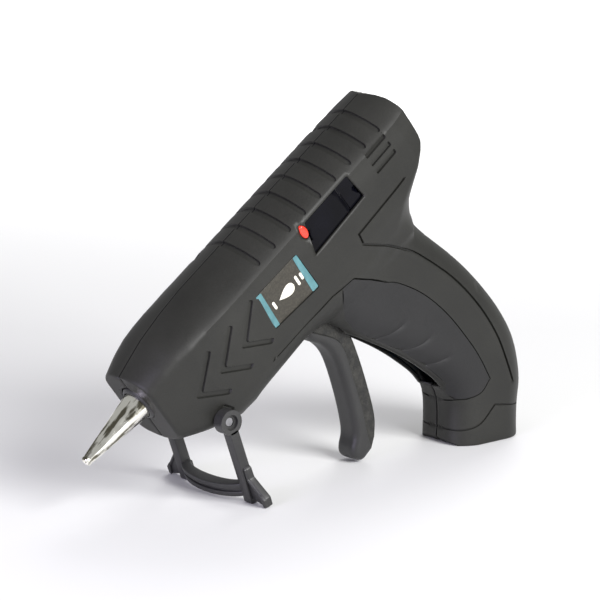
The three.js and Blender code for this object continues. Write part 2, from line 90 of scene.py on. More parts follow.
def spline(knots, step=1.0):
    """Catmull-Rom curve through the knots: a cubic per stretch whose ends lean to the neighbours."""
    knots = np.asarray(knots, float)
    padded = np.vstack([2 * knots[0] - knots[1], knots, 2 * knots[-1] - knots[-2]])
    rows = []
    for before, start, end, after in zip(padded[:-3], padded[1:-2], padded[2:-1], padded[3:]):
        count = max(2, int(np.hypot(*(end - start)) / step) + 1)
        t = np.linspace(0, 1, count, endpoint=False)[:, None]
        rows.append(start + 0.5 * t * (end - before) + t ** 2 * (
            before - 2.5 * start + 2 * end - 0.5 * after) + 0.5 * t ** 3 * (
            3 * start - before - 3 * end + after))
    return np.vstack(rows + [knots[-1:]])


def even(path, step, closed=True):
    """A polyline cut into equal short steps between its own corners, which all stay."""
    path = np.asarray(path, float)
    if closed:
        path = np.vstack([path, path[:1]])
    rows = []
    for start, end in zip(path[:-1], path[1:]):
        length = np.hypot(*(end - start))
        if length > 1e-6:
            count = max(1, int(round(length / step)))
            rows.append(start + (end - start) * (np.arange(count) / count)[:, None])
    return np.vstack(rows if closed else rows + [path[-1:]])


def eased(path, radius, steps=5):
    """A closed outline whose corners are replaced by quadratic arcs that start `radius` away."""
    path = np.asarray(path, float)
    before, after = np.roll(path, 1, 0) - path, np.roll(path, -1, 0) - path
    lengths = [np.hypot(*v.T) for v in (before, after)]
    reach = np.minimum(radius, 0.45 * np.minimum(*lengths))
    first = path + before / lengths[0][:, None] * reach[:, None]
    last = path + after / lengths[1][:, None] * reach[:, None]
    t = np.linspace(0, 1, steps)[None, :, None]
    arcs = (1 - t) ** 2 * first[:, None] + 2 * t * (1 - t) * path[:, None] + t ** 2 * last[:, None]
    return arcs.reshape(-1, 2)


def lengths_along(path):
    """Distance along a polyline to each of its points: the running sum of its stretches' lengths."""
    return np.concatenate([[0], np.cumsum(np.hypot(*np.diff(path, axis=0).T))])


def trace(points, path, closed=False):
    """Distance from each point to a polyline, and how far along it the nearest place is: the nearest
    of the point's feet on each of its stretches."""
    path = np.asarray(path, float)
    if closed:
        path = np.vstack([path, path[:1]])
    nearest, place, base = np.full(len(points), 1e9), np.zeros(len(points)), 0.0
    for start, end in zip(path[:-1], path[1:]):
        along = end - start
        length = math.hypot(*along)
        t = np.clip((points - start) @ along / max(length * length, 1e-12), 0, 1)
        gap = np.hypot(*(points - start - t[:, None] * along).T)
        closer = gap < nearest
        nearest[closer], place[closer] = gap[closer], base + length * t[closer]
        base += length
    return nearest, place


def away_from(points, path, closed=False):
    """Distance from each point to a polyline."""
    return trace(points, path, closed)[0]


def inside(points, ring):
    """Even-odd rule: inside when a line to the right crosses the ring an odd number of times."""
    x, z = points.T
    result = np.zeros(len(points), bool)
    for (x0, z0), (x1, z1) in zip(ring, np.roll(ring, -1, 0)):
        if z0 != z1:
            result ^= ((z0 > z) != (z1 > z)) & (x < x0 + (z - z0) * (x1 - x0) / (z1 - z0))
    return result


def within(ring, holes):
    """A test for points that are inside a ring and outside all of its holes."""
    return lambda flat: inside(flat, ring) & ~np.any([inside(flat, hole) for hole in holes], axis=0)


def shifted(path, distance, closed=False):
    """A polyline moved sideways by a distance, to the left of its direction, with mitred corners."""
    path = np.asarray(path, float)
    step = np.diff(np.vstack([path, path[:1]]) if closed else path, axis=0)
    step /= np.maximum(np.hypot(*step.T), 1e-9)[:, None]
    if closed:
        before, after = np.roll(step, 1, 0), step
    else:
        before, after = np.vstack([step[:1], step]), np.vstack([step, step[-1:]])
    normal = np.stack([-before[:, 1] - after[:, 1], before[:, 0] + after[:, 0]], 1)
    scale = np.maximum(1 + (before * after).sum(1), 0.35)
    return path + normal * (distance / scale)[:, None]


def ramp(value, low, high):
    """0 below `low`, 1 above `high`, and the smooth cubic step between them."""
    t = np.clip((value - low) / (high - low), 0, 1)
    return t * t * (3 - 2 * t)


def triangles(rings, lines, spacing, keep):
    """Delaunay triangles over staggered rows of points, with every ring and line kept as edges.
    A row's points keep clear of the edges, and only the triangles that `keep` passes are left."""
    chains = [(np.asarray(ring, float), True) for ring in rings]
    chains += [(np.asarray(line, float), False) for line in lines]
    fixed = np.vstack([chain for chain, _ in chains])
    low, high = fixed.min(0), fixed.max(0)
    columns = np.arange(low[0], high[0] + spacing, spacing)
    rows = np.arange(low[1], high[1] + spacing, spacing * 0.87)
    grid = np.stack(np.meshgrid(columns, rows), -1)
    grid[1::2, :, 0] += spacing / 2
    grid = grid.reshape(-1, 2)
    cell = spacing * 0.5
    size = ((high - low) / cell).astype(int) + 9
    taken = np.zeros(size, bool)
    fine = np.vstack([even(chain, cell, closed) for chain, closed in chains])
    place = ((fine - low) / cell).astype(int) + 3
    for i in (-1, 0, 1):
        for j in (-1, 0, 1):
            taken[place[:, 0] + i, place[:, 1] + j] = True
    spot = np.clip(((grid - low) / cell).astype(int) + 3, 0, size - 1)
    grid = grid[~taken[spot[:, 0], spot[:, 1]]]
    grid = grid[keep(grid)]
    edges, first = [], 0
    for chain, closed in chains:
        index = np.arange(first, first + len(chain))
        edges.append(np.stack([index[:-1], index[1:]], 1))
        if closed:
            edges.append(np.array([[index[-1], index[0]]]))
        first += len(chain)
    cloud = [Vector(p) for p in np.vstack([fixed, grid]).tolist()]
    flat, _, faces, *_ = delaunay_2d_cdt(cloud, np.vstack(edges).tolist(), [], 0, 1e-5, False)
    flat = np.array([tuple(p) for p in flat])
    faces = np.array([face for face in faces if len(face) == 3])
    return flat, faces[keep(flat[faces].mean(1))]


def make_mesh(name, points, faces, sharp):
    """One object from points and faces: loose points go, points that meet merge, normals turn outwards.
    Edges that turn by more than `sharp` degrees are shaded as corners."""
    mesh = bpy.data.meshes.new(name)
    mesh.from_pydata(in_row_frame(points).tolist(), [], [list(map(int, face)) for face in faces])
    piece = bpy.data.objects.new(name, mesh)
    bpy.context.scene.collection.objects.link(piece)
    bpy.context.view_layer.objects.active = piece
    for other in bpy.context.selected_objects:
        other.select_set(False)
    piece.select_set(True)
    bpy.ops.object.mode_set(mode="EDIT")
    bpy.ops.mesh.select_all(action="SELECT")
    bpy.ops.mesh.delete_loose()
    bpy.ops.mesh.select_all(action="SELECT")
    bpy.ops.mesh.remove_doubles(threshold=4e-6)
    bpy.ops.mesh.normals_make_consistent(inside=False)
    bpy.ops.object.mode_set(mode="OBJECT")
    mesh.shade_smooth()
    mesh.set_sharp_from_angle(angle=math.radians(sharp))
    return piece


# Side view of the shell, nose first, over the top, down the back of the grip and home again.
FLOOR_SLOPE = math.tan(TILT)


def floor_height(x):
    """Height in the barrel frame of the table that the grip's end stands on."""
    return -AXIS_HEIGHT / math.cos(TILT) - x * FLOOR_SLOPE


roof_line = np.array([[0, 15.6], [8, 17.7], [17, 19.9], [30, 21.6], [43, 22.5], [160, 22.5]])
rear_line = [[160, 22.5], [162.2, 20.8], [163.4, 18.5], [164, 12], [164, -4], [162.6, -8], [159, -15],
             [149.5, -25.5]]
back_edge = spline([[149.5, -25.5], [146.6, -30.5], [145.6, -37], [147.4, -46], [153.4, -66], [157, -84],
                    [158.5, -103], [156.6, -119], [149.6, -134.5], [140.2, -145.2], [126, -164]], 2)
front_edge = spline([[93, -140], [111, -117], [113.4, -105], [110, -91], [104.3, -76], [95, -57.5],
                     [88.9, -47], [87.2, -41.5], [84.5, -37.6]], 2)
spine = back_edge[back_edge[:, 1] > floor_height(back_edge[:, 0]) + 0.8]
throat = front_edge[front_edge[:, 1] > floor_height(front_edge[:, 0]) + 0.8]
belly_line = np.array([[84.5, -37.6], [78, -36.3], [71, -35.2], [50, -36], [37, -36], [28, -34.3],
                       [12, -26], [0, -19.3]])
foot_line = [[x, floor_height(x) + 0.05] for x in (spine[-1, 0] - 1.2, throat[0, 0] + 0.6)]
# Nicks across the spine: where along it, how far apart, and how wide and deep each one is.
RIB_FIRST, RIB_PITCH, RIB_COUNT, RIB_HALF, RIB_DEPTH = 22.5, 18.4, 6, 1.3, 1.3
spine_length = lengths_along(spine)
rib_places = RIB_FIRST + RIB_PITCH * np.arange(RIB_COUNT)
stations = np.unique(np.concatenate(
    [spine_length] + [rib_places + shift for shift in (-RIB_HALF, 0, RIB_HALF)]))
nicked = np.stack([np.interp(stations, spine_length, spine[:, i]) for i in (0, 1)], 1)
heading = np.gradient(nicked, stations, axis=0)
nick = RIB_DEPTH * np.clip(1 - abs(stations[:, None] - rib_places).min(1) / RIB_HALF, 0, 1)
nicked += np.stack([heading[:, 1], -heading[:, 0]], 1) / np.hypot(*heading.T)[:, None] * nick[:, None]
side_view = np.vstack([roof_line, rear_line[1:-1], nicked, foot_line, throat[:-1], belly_line])
grip_ring = np.vstack([back_edge[1:], front_edge, [[75.5, -32], [84, -8], [161.5, -8], [159, -15]],
                       back_edge[:1]])
# Heights down the grip and the x of its middle at each, which parts its front from its rounder back.
GRIP_MIDDLE = [-150, -120, -80, -40], [128, 134, 130, 118]
GRIP_RIM, GRIP_BULGE, GRIP_DEPTH = 5.5, 11, 14
# The trigger's slot through the belly and the front of the grip: its ends and its half width.
SLOT_FRONT, SLOT_END, SLOT_HALF = 68.5, -108.5, 8.4
# Half widths of the barrel seen from above, nose first.
plan_x = [0, 10, 24, 45, 140, 156, 164]
plan_y = [15.2, 17.6, 20.1, 21.45, 21.45, 20.6, 19.2]
NOSE_ROUND, FOOT_ROUND, BLEND, NOWHERE = 1.3, 1, 5.0, -9
STAND_PIVOT, STAND_BOSS, BOSS_FLAT = [18.2, -23.3], 6, 18.8


def barrel_half_width(x, z):
    """Half the barrel's width: flat sides, with a flattened arch above the shoulder and below the foot.
    The arches are superellipses, the upper one almost a gable, and meet the flanks in a crease."""
    plan = np.interp(x, plan_x, plan_y)
    top = np.interp(x, *roof_line.T)
    belly = np.interp(x, [0, 12, 28, 37, 50, 71, 100, 164],
                      [-19.3, -26, -34.3, -36, -36, -35.2, -40, -40])
    full = ramp(x, 5, 50)
    shoulder = top - 8.5 - 1.3 * full
    foot = belly + 8 + 6.5 * full
    flank = plan - 0.9 * ramp(z, 2, 13) * full - 0.8 * ramp(-z, 12, 22) * full
    crease = 4.2 * full
    result = flank
    arches = (z, shoulder, top, 2.1 - 0.55 * full), (-z, -foot, -belly, 2.9 - 0.9 * full)
    for height, begin, end, power in arches:
        arch = end - begin + crease
        reach = 1 / (1 - (crease / arch) ** power) ** (1 / power)
        u = np.clip((height - begin + crease) / arch, 0, 1)
        curve = plan * 0.958 ** full * reach * (1 - u ** power) ** (1 / power)
        result = np.where(height > begin, np.minimum(curve, flank), result)
    return result


def round_edge(rim, width, radius, depth):
    """Quarter circle from the rim's half width up to the full one over `radius` of depth."""
    u = 1 - np.clip(depth / radius, 0, 1)
    return rim + (width - rim) * np.sqrt(1 - u * u)


def shell_half_width(points):
    """Barrel and grip together: the greater half width of the two, blended where they meet. The grip's
    is a superellipse of the depth inside its outline."""
    x, z = points.T
    barrel = barrel_half_width(x, z)
    barrel = np.minimum(barrel, round_edge(barrel - NOSE_ROUND, barrel, NOSE_ROUND, np.maximum(x, 0)))
    behind = away_from(points, rear_line[1:] + [[146.6, -30.5]])
    tuck = ramp(-z, -2, 28)
    u = 1 - np.clip(behind / (4 + 18 * tuck), 0, 1)
    barrel = np.minimum(barrel, 16 - 11 * tuck + (5.45 + 11 * tuck) * (1 - u * u) ** (0.5 + 0.25 * tuck))
    barrel = np.where((z > -40) & ((x < 100) | (z > -30 - (149 - x) * 0.6)), barrel, NOWHERE)
    grip_depth = away_from(points, grip_ring, True) * np.where(inside(points, grip_ring), 1, -1)
    u = 1 - np.clip(grip_depth / GRIP_DEPTH, 0, 1)
    back = ramp(x - np.interp(z, *GRIP_MIDDLE), -6, 6)
    grip = GRIP_RIM + GRIP_BULGE * (1 - u * u) ** (0.5 + 0.2 * back)
    grip = np.where(grip_depth > -0.3, grip, NOWHERE)
    fade = ramp(-z, 16, 36) * ramp(x, 108, 124) * (grip > 0)
    barrel = barrel - fade * np.maximum(barrel - grip, 0)
    gap = np.maximum(BLEND - abs(barrel - grip), 0) / BLEND
    both = (barrel > 0) & (grip > 0)
    width = np.maximum(barrel, grip) + np.where(both, gap * gap * BLEND / 4, 0)
    above_floor = (z - floor_height(x)) * math.cos(TILT)
    rounded = round_edge(width - FOOT_ROUND, width, FOOT_ROUND, np.maximum(above_floor, 0))
    width = np.minimum(width, rounded)
    slotted = (x > 83.5) & (x < 115) & (z > SLOT_END) & (z < -36)
    width = np.where(slotted, np.maximum(width, SLOT_HALF), width)
    from_pivot = np.hypot(x - STAND_PIVOT[0], z - STAND_PIVOT[1])
    return np.where(from_pivot < STAND_BOSS, np.minimum(width, BOSS_FLAT), width)


def stadium(start, end, width, steps=8):
    """Outline of a slot with round ends between two points."""
    start, end = np.array(start, float), np.array(end, float)
    heading = math.atan2(*(end - start)[::-1])
    turn = np.linspace(-math.pi / 2, math.pi / 2, steps)
    cap = np.stack([np.cos(turn + heading), np.sin(turn + heading)], 1) * width / 2
    return np.vstack([end + cap, start - cap])


# Sunk shapes: the roof's grooves, the nose's chevrons, the vents, and the beds of badge and pad.
# Each is an outline, a depth, and how wide the slope of its wall is.
GROOVE_FIRST, GROOVE_PITCH, GROOVE_COUNT = 70.0, 9.85, 9
GROOVE_TOP, GROOVE_FOOT, GROOVE_WIDTH = 26, 15.6, 2.7
CHEVRON_APEX, CHEVRON_PITCH, CHEVRON_RISE, CHEVRON_COUNT = (14.2, -6.8), 13.7, 0.9, 3
VENT_FRONT, VENT_REAR, VENT_HALF = 136, 149.2, 1.1
sunk = []
for i in range(GROOVE_COUNT):
    x = GROOVE_FIRST + i * GROOVE_PITCH
    sunk.append((stadium([x, GROOVE_TOP], [x, GROOVE_FOOT], GROOVE_WIDTH), 0.95, 0.3))
for i in range(CHEVRON_COUNT):
    x, z = CHEVRON_APEX[0] + i * CHEVRON_PITCH, CHEVRON_APEX[1] + i * CHEVRON_RISE
    arrow = [[x, z], [x + 12.3, z - 9.6], [x + 14.6, z - 8.3], [x + 3.9, z + 0.2],
             [x + 16.4, z + 11.8], [x + 14.6, z + 13.4]]
    sunk.append((eased(arrow, 1.0, 4), 0.95, 0.35))
for z in (12.1, 7.9, 3.7):
    low, high = z - VENT_HALF, z + VENT_HALF
    vent = [[VENT_FRONT, low], [VENT_REAR, low], [VENT_REAR, high], [VENT_FRONT, high]]
    sunk.append((eased(vent, 0.6, 4), 1.0, 0.3))
WINDOW = [[96.2, 12.9], [124.2, 13.1], [125.6, 0.2], [92.1, -1.4]]
BADGE = [[60.4, 6.9], [58.6, -11.0], [85.7, -13.2], [85.1, 6.4]]
badge_ring = eased(BADGE, 1.4, 5)
sunk.append((badge_ring, 0.95, 0.25))
PAD_CORNERS = [[101.2, -24.2], [108.4, -32.6], [114.5, -40.5]]
pad_edge = spline([[114.5, -40.5], [119.5, -46], [126.5, -59.5], [131, -76], [132.8, -94], [132.9, -106],
                   [131.6, -117.6]], 1.5)
pad_foot = spline([[131.6, -117.6], [123.9, -119], [115.4, -115.6], [113.6, -112]], 1.5)
PAD = np.vstack([PAD_CORNERS[:2], pad_edge[:-1], pad_foot, [[115.0, -105], [111.5, -90.5], [105.8, -75.4],
                 [96.4, -57], [91.9, -47.5], [90.8, -40], [91.5, -31], [94, -23.2]]])
PAD_HAIRLINE = len(PAD) - 9  # from here on the pad meets the shell along its front in a hairline
sunk.append((PAD, 1.5, 0.25))

# Panel lines: path, width and depth.
side_line = spline([[123.4, -27.1], [129.5, -35.5], [134.8, -44.6], [142.6, -65.9], [146, -86],
                    [145.8, -104], [143, -118], [140.6, -127.5]], 1.5)
side_line = np.vstack([[[145.1, -8.9], [113.6, -10.4], [113.0, -15.7]], side_line])
lower_line = np.vstack([[[150.5, -137.6], [138.5, -141.2]],
                        spline([[126.6, -128.9], [116.1, -129.9], [108.5, -127.4], [103.6, -123.6]], 1.5)])
scored = [(side_line, 1.15, 0.9), (lower_line, 0.9, 0.7),
          (spline([[117.5, -116.6], [114.2, -114.6], [110.4, -113.8]], 1.5), 0.8, 0.6),
          (np.vstack([PAD_CORNERS[::-1], [[88.5, -21.9], [51.1, -21.2]]]), 0.75, 0.6)]
scored = [(even(path, 1.2, False), width, depth) for path, width, depth in scored]
holes = [eased(WINDOW, 0.7, 4)]


def sink(points):
    """How deep the moulded detail goes in: full inside each outline, falling over its sloping wall,
    and full along each line's middle, falling to its edges."""
    depth = np.zeros(len(points))
    for ring, full, wall in sunk:
        near = ((points > ring.min(0) - 1) & (points < ring.max(0) + 1)).all(1)
        index = np.flatnonzero(near)
        index = index[inside(points[index], ring)]
        reach = away_from(points[index], ring, True)
        depth[index] = np.maximum(depth[index], full * np.clip(reach / wall, 0, 1))
    for path, width, full in scored:
        near = ((points > path.min(0) - 2) & (points < path.max(0) + 2)).all(1)
        index = np.flatnonzero(near)
        reach = away_from(points[index], path)
        shape = np.clip((width / 2 - reach) / (width * 0.22), 0, 1)
        depth[index] = np.maximum(depth[index], full * shape)
    return depth


def polygon_turn(ring):
    """Twice the signed area of a ring, positive when it runs anticlockwise."""
    x, z = np.asarray(ring).T
    return (x * np.roll(z, -1) - np.roll(x, -1) * z).sum()


def inward(ring, distance):
    """A ring drawn in by a distance, whichever way round it runs."""
    return shifted(ring, distance if polygon_turn(ring) > 0 else -distance, True)


def surface_points(flat, side):
    """Height field with relief: y is the half width, then every point is pushed inwards along the
    normal, the slope of y squared less the half width squared, by the depth that its detail asks for."""
    width = np.maximum(shell_half_width(flat), 0.3)
    step = 0.03
    slope = [(shell_half_width(flat + shift) ** 2 - shell_half_width(flat - shift) ** 2) / (2 * step)
             for shift in (np.array([step, 0]), np.array([0, step]))]
    normal = np.stack([-slope[0], 2 * width, -slope[1]], 1)
    normal /= np.linalg.norm(normal, axis=1)[:, None]
    points = at_width(flat, width) - normal * sink(flat)[:, None]
    points[:, 1] = np.maximum(points[:, 1], 0.2) * side
    return points


WELL_RADIUS, HEAD_DEPTH, WALL = 3.1, 2.1, 0.0016
RIM_ROWS = 0.04, 0.15, 0.35, 0.6, 0.95, 1.4, 1.9, 2.5, 3.2, 4.0
NOSE_HOLE, TAIL_HOLE, PLUG_HALF, PLUG_WIDTH = 8.6, 8.5, 2, 4.7
PARTING_HALF, PARTING_DEPTH = 0.15, 0.4


def shell(name, side, extra_holes, wells):
    """Half of the body: a height over its side view, y = half width, and a flat band across the edge of
    that view, from the rim's half width down to the parting plane, with its own openings. A well is
    [x, z, top]: the shell drops straight down there to take a screw's head."""
    ring = even(side_view, 0.9)
    rings = [ring] + [r for r, _, _ in sunk] + [inward(r, wall) for r, _, wall in sunk]
    openings = holes + extra_holes
    rings += openings
    rings += [np.array([x, z]) + circle(20, radius)
              for x, z, _ in wells for radius in (WELL_RADIUS, WELL_RADIUS - 0.15)]
    # The trigger's mouth: its front edge climbs the belly until the shell there is as wide as the slot.
    mouth_x = np.linspace(SLOT_FRONT, 72.6, 5)
    mouth_z = np.interp(mouth_x, *belly_line[::-1].T)
    for _ in range(30):
        narrow = shell_half_width(np.stack([mouth_x, mouth_z], 1)) < SLOT_HALF
        mouth_z = np.where(narrow, mouth_z + 0.08, mouth_z)
    notch = spline([[74.3, -31.8], [79, -32.6], [83.7, -35.8], [87.8, -42], [89.6, -48.4]], 1)
    mouth = np.vstack([np.stack([mouth_x, mouth_z], 1), notch, [[86, -50], [SLOT_FRONT, -45]]])
    rings.append(mouth)
    openings = openings + [mouth]
    lines = [shifted(path, s * width / 2) for path, width, _ in scored for s in (-1, -0.56, 0.56, 1)]
    for depth in RIM_ROWS:
        row = inward(ring, depth)
        fits = inside(row, ring) & (away_from(row, ring, True) > 0.8 * depth)
        breaks = np.flatnonzero(np.diff(fits.astype(int))) + 1
        lines += [part for part, good in zip(np.split(row, breaks), np.split(fits, breaks))
                  if good.all() and len(part) > 2]

    flat, faces = triangles(rings, lines, 1.0, within(ring, openings))
    points = surface_points(flat, side)
    for x, z, top in wells:
        reach = np.hypot(flat[:, 0] - x, flat[:, 1] - z)
        points[reach < WELL_RADIUS - 0.14, 1] = (top - HEAD_DEPTH) * side

    # The band is laid out flat: how far round the edge, and the half width.
    closed = np.vstack([ring, ring[:1]])
    starts = lengths_along(closed)
    reach, place = trace(flat, ring, True)
    near = np.flatnonzero(reach < 1e-3)
    place = place[near]
    order = np.argsort(place)
    near, place = near[order], place[order]
    rim = abs(points[near, 1])
    floor = np.full(len(rim), PARTING_HALF)

    def spot(u):
        return np.stack([np.interp(u % starts[-1], starts, closed[:, i]) for i in (0, 1)], -1)

    def along_edge(x, z):
        return starts[np.argmin(np.hypot(closed[:, 0] - x, closed[:, 1] - z))]

    nose, tail, plug = along_edge(0, 0), along_edge(164, 0), along_edge(146.8, -141)
    slot_from, slot_to = along_edge(113.2, SLOT_END), along_edge(SLOT_FRONT, -35.4)
    band_holes = [np.array([middle, 0]) + circle(20, radius)
                  for middle, radius in ((nose, NOSE_HOLE), (tail, TAIL_HOLE))]
    for begin, end, width in ((plug - PLUG_HALF, plug + PLUG_HALF, PLUG_WIDTH),
                              (slot_from, slot_to, SLOT_HALF + 0.1)):
        band_holes.append(np.array([[begin, -1], [end, -1], [end, width], [begin, width]]))
    outline = np.vstack([np.stack([place, rim], 1), np.stack([place, floor], 1)[::-1]])
    band, band_faces = triangles([outline] + band_holes, [], 1.1, within(outline, band_holes))
    spots = spot(band[:, 0])
    ahead = spot(band[:, 0] + 0.3) - spot(band[:, 0] - 0.3)
    ahead /= np.maximum(np.hypot(*ahead.T), 1e-9)[:, None]
    inwards = np.stack([ahead[:, 1], -ahead[:, 0]], 1) * (1 if polygon_turn(ring) < 0 else -1)
    parting = np.where(band[:, 1] < PARTING_HALF + 0.01, PARTING_DEPTH, 0.0)
    spots = spots + inwards * np.maximum(sink(spots), parting)[:, None]
    band_points = at_width(spots, band[:, 1] * side)
    gap = abs(band[:, None, 0] - place[None, :]) + abs(band[:, None, 1] - rim[None, :])
    nearest = gap.argmin(1)
    matched = gap[np.arange(len(band)), nearest] < 1e-3
    band_points[matched] = points[near[nearest[matched]]]
    all_faces = np.vstack([faces, band_faces + len(points)])
    piece = make_mesh(name, np.vstack([points, band_points]), all_faces, 30)
    wall = piece.modifiers.new("wall", "SOLIDIFY")
    wall.thickness = WALL
    wall.offset = -1
    return piece


CAP_PLACE = np.array([93.7, 10.2])
button_hole = CAP_PLACE + circle(28) * [2.05, 3.4]
SCREW_PLACES = [[34, -27], [63, 16.8], [141, 16.2], [140, -19.5], [114, -33], [118, -134]]
left_shell = shell("left_shell", -1, [button_hole], [])
screw_tops = []
HIGHEST_HEAD = 14.8
for place in SCREW_PLACES:
    rim = np.array(place) + circle(24, WELL_RADIUS)
    screw_tops.append((*place, min(HIGHEST_HEAD, shell_half_width(rim).min() - 0.3)))
right_shell = shell("right_shell", 1, [], screw_tops)


class Strand:
    """A socket of one material's node tree. Arithmetic on it adds the Math nodes it needs."""

    def __init__(self, tree, socket=None):
        self.tree, self.socket = tree, socket

    def add(self, kind, settings, inputs, output=0):
        """Any node: its type, its settings, which are set first, and its sockets' values or links."""
        node = self.tree.nodes.new("ShaderNode" + kind)
        for name, value in settings.items():
            if name == "stops":
                ramp_stops = node.color_ramp.elements
                while len(ramp_stops) < len(value):
                    ramp_stops.new(0.5)
                for stop, (position, level) in zip(ramp_stops, value):
                    stop.position, stop.color = position, (level, level, level, 1)
            else:
                setattr(node, name, value)
        for name, value in inputs.items():
            if isinstance(value, Strand):
                self.tree.links.new(value.socket, node.inputs[name])
            else:
                node.inputs[name].default_value = value
        return Strand(self.tree, node.outputs[output])

    def sum_of(self, operation, first, second):
        return self.add("Math", {"operation": operation}, {0: first, 1: second})

    def __add__(self, other): return self.sum_of("ADD", self, other)
    def __radd__(self, other): return self.sum_of("ADD", other, self)
    def __sub__(self, other): return self.sum_of("SUBTRACT", self, other)
    def __rsub__(self, other): return self.sum_of("SUBTRACT", other, self)
    def __mul__(self, other): return self.sum_of("MULTIPLY", self, other)
    def __rmul__(self, other): return self.sum_of("MULTIPLY", other, self)

    def noise(self, where, scale, detail=3.0, output=0):
        return self.add("TexNoise", {}, {"Vector": where, "Scale": scale, "Detail": detail}, output)

    def stretch(self, value, stops):
        return self.add("ValToRGB", {"stops": stops}, {0: value})

    def tint(self, amount, first, second):
        """Mixes two colours, each a constant or another strand."""
        return self.add("Mix", {"data_type": "RGBA"}, {0: amount, 6: first, 7: second}, 2)


def new_material(name, build, **fixed):
    """A Principled material. `build` gets a strand and returns what varies: colour, roughness, height
    and its depth in metres. Everything that doesn't vary is set on the shader's own sockets."""
    material = bpy.data.materials.new(name)
    material.use_nodes = True
    tree = material.node_tree
    shader = tree.nodes["Principled BSDF"]
    for socket, value in fixed.items():
        shader.inputs[socket.replace("_", " ")].default_value = value
    strand = Strand(tree)
    where = strand.add("TexCoord", {}, {}, 3)
    colour, roughness, height, depth = build(strand, where)
    for socket, value in (("Base Color", colour), ("Roughness", roughness)):
        if isinstance(value, Strand):
            tree.links.new(value.socket, shader.inputs[socket])
        else:
            shader.inputs[socket].default_value = value
    if height is not None:
        bump = strand.add("Bump", {}, {"Height": height, "Distance": depth, "Strength": 1.0})
        tree.links.new(bump.socket, shader.inputs["Normal"])
    return material


def moulded(dark, light, gloss, grain=1700, depth=0.00003):
    """Moulded plastic: spark-eroded grain, cloudy sink marks, and sharp edges painted a little paler as a
    highlight.
    """
    def build(strand, where):
        cloud = strand.noise(where, 38, 4)
        speck = strand.noise(where, grain, 2)
        # Painted highlight: the edge mask picks convex edges by their pointiness, and the colour there is
        # mixed towards a paler one.
        edge = strand.stretch(strand.add("NewGeometry", {}, {}, 7), [(0.515, 0), (0.60, 1)])
        tone = strand.stretch(cloud * 0.6 + speck * 0.4, [(0.38, 0), (0.64, 1)])
        painted_edge_highlight = [2.2 * c for c in light[:3]] + [1]
        colour = strand.tint(edge * 0.22, strand.tint(tone, dark, light), painted_edge_highlight)
        rough = gloss + (cloud - 0.5) * 0.22 + (speck - 0.5) * 0.12 - edge * 0.06
        return colour, rough, speck + cloud * 0.35, depth
    return build


def parted(strand, where):
    """The moulded finish, with painted shade in the parting line: black within 0.3 mm of the middle."""
    plain = moulded((.0105, .0105, .0086, 1), (.0182, .0182, .0150, 1), 0.50)
    colour, rough, height, depth = plain(strand, where)
    off_middle = strand.sum_of("ABSOLUTE", strand.add("SeparateXYZ", {}, {0: where}, 1), 0.0)
    # Painted shade: the seam between the two halves is coloured black, standing in for the shade inside
    # its gap.
    outside_seam_shade = strand.stretch(off_middle * 1000, [(0.22, 0), (0.42, 1)])
    return strand.tint(outside_seam_shade, (.001, .001, .001, 1), colour), rough + (1 - outside_seam_shade) * 0.4, height, depth


housing_finish = new_material("housing_plastic", parted, Specular_IOR_Level=0.42)
for piece, node in ((left_shell, "left_housing"), (right_shell, "right_housing")):
    piece.data.materials.append(housing_finish)
    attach(piece, "body")
    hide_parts(node)

# ---- grip pads ----------------------------------------------------------------------------------
# Soft rubber overmoulded into a shallow pocket on each side of the grip, with three shallow arcs that
# the fingers find. It follows the grip's own curve and lies level with the shell round it.


def plate(ring, outer, inner, spacing, lines=(), rows=1, holes=()):
    """A closed solid over a flat outline: outer and inner faces are functions of the same flat points,
    and its edge is `rows` strips of straight lines between the two. Returns points and faces."""
    flat, faces = triangles([ring, *holes], lines, spacing, within(ring, holes))
    front, back = outer(flat), inner(flat)
    points, sides = [front, back], [faces, faces[:, ::-1] + len(flat)]
    count = 2 * len(flat)
    for edge in (ring, *holes):
        near = np.array([np.abs(flat - p).sum(1).argmin() for p in edge])
        t = np.linspace(0, 1, rows + 1)[:, None, None]
        strip = front[near] * (1 - t) + back[near] * t
        index = count + np.arange(strip.shape[0] * strip.shape[1]).reshape(strip.shape[:2])
        after = np.roll(index, -1, 1)
        quads = np.stack([index[:-1], index[1:], after[1:], after[:-1]], -1).reshape(-1, 4)
        sides += [quads[:, [0, 1, 2]], quads[:, [0, 2, 3]]]
        points.append(strip.reshape(-1, 3))
        count += strip.shape[0] * strip.shape[1]
    return np.vstack(points), np.vstack(sides)


finger_arcs = [even(spline(arc, 1.0), 1.0, False) for arc in (
    [[95.5, -58], [101.2, -61.9], [110, -63.3], [115.6, -61.6]],
    [[101.8, -71.8], [109.6, -77.2], [117.4, -78.5], [122, -75.6]],
    [[107.6, -86.2], [113.3, -91], [120.4, -93.3], [124.6, -92.8]])]
pad_pocket = even(PAD, 1.0)
open_edge = (away_from(pad_pocket, np.vstack([PAD[:PAD_HAIRLINE], PAD[:1]])[:-1]) < 0.01)
pad_gap = np.where(open_edge, 0.36, 0.03) * (1 if polygon_turn(PAD) > 0 else -1)
pad_ring = shifted(pad_pocket, pad_gap, True)
pad_rows = [inward(pad_ring, inset) for inset in (0.12, 0.3, 0.6)]
PAD_RIM, PAD_DROP, PAD_THICKNESS, ARC_DEPTH = 0.95, 0.5, 1.4, 1.0


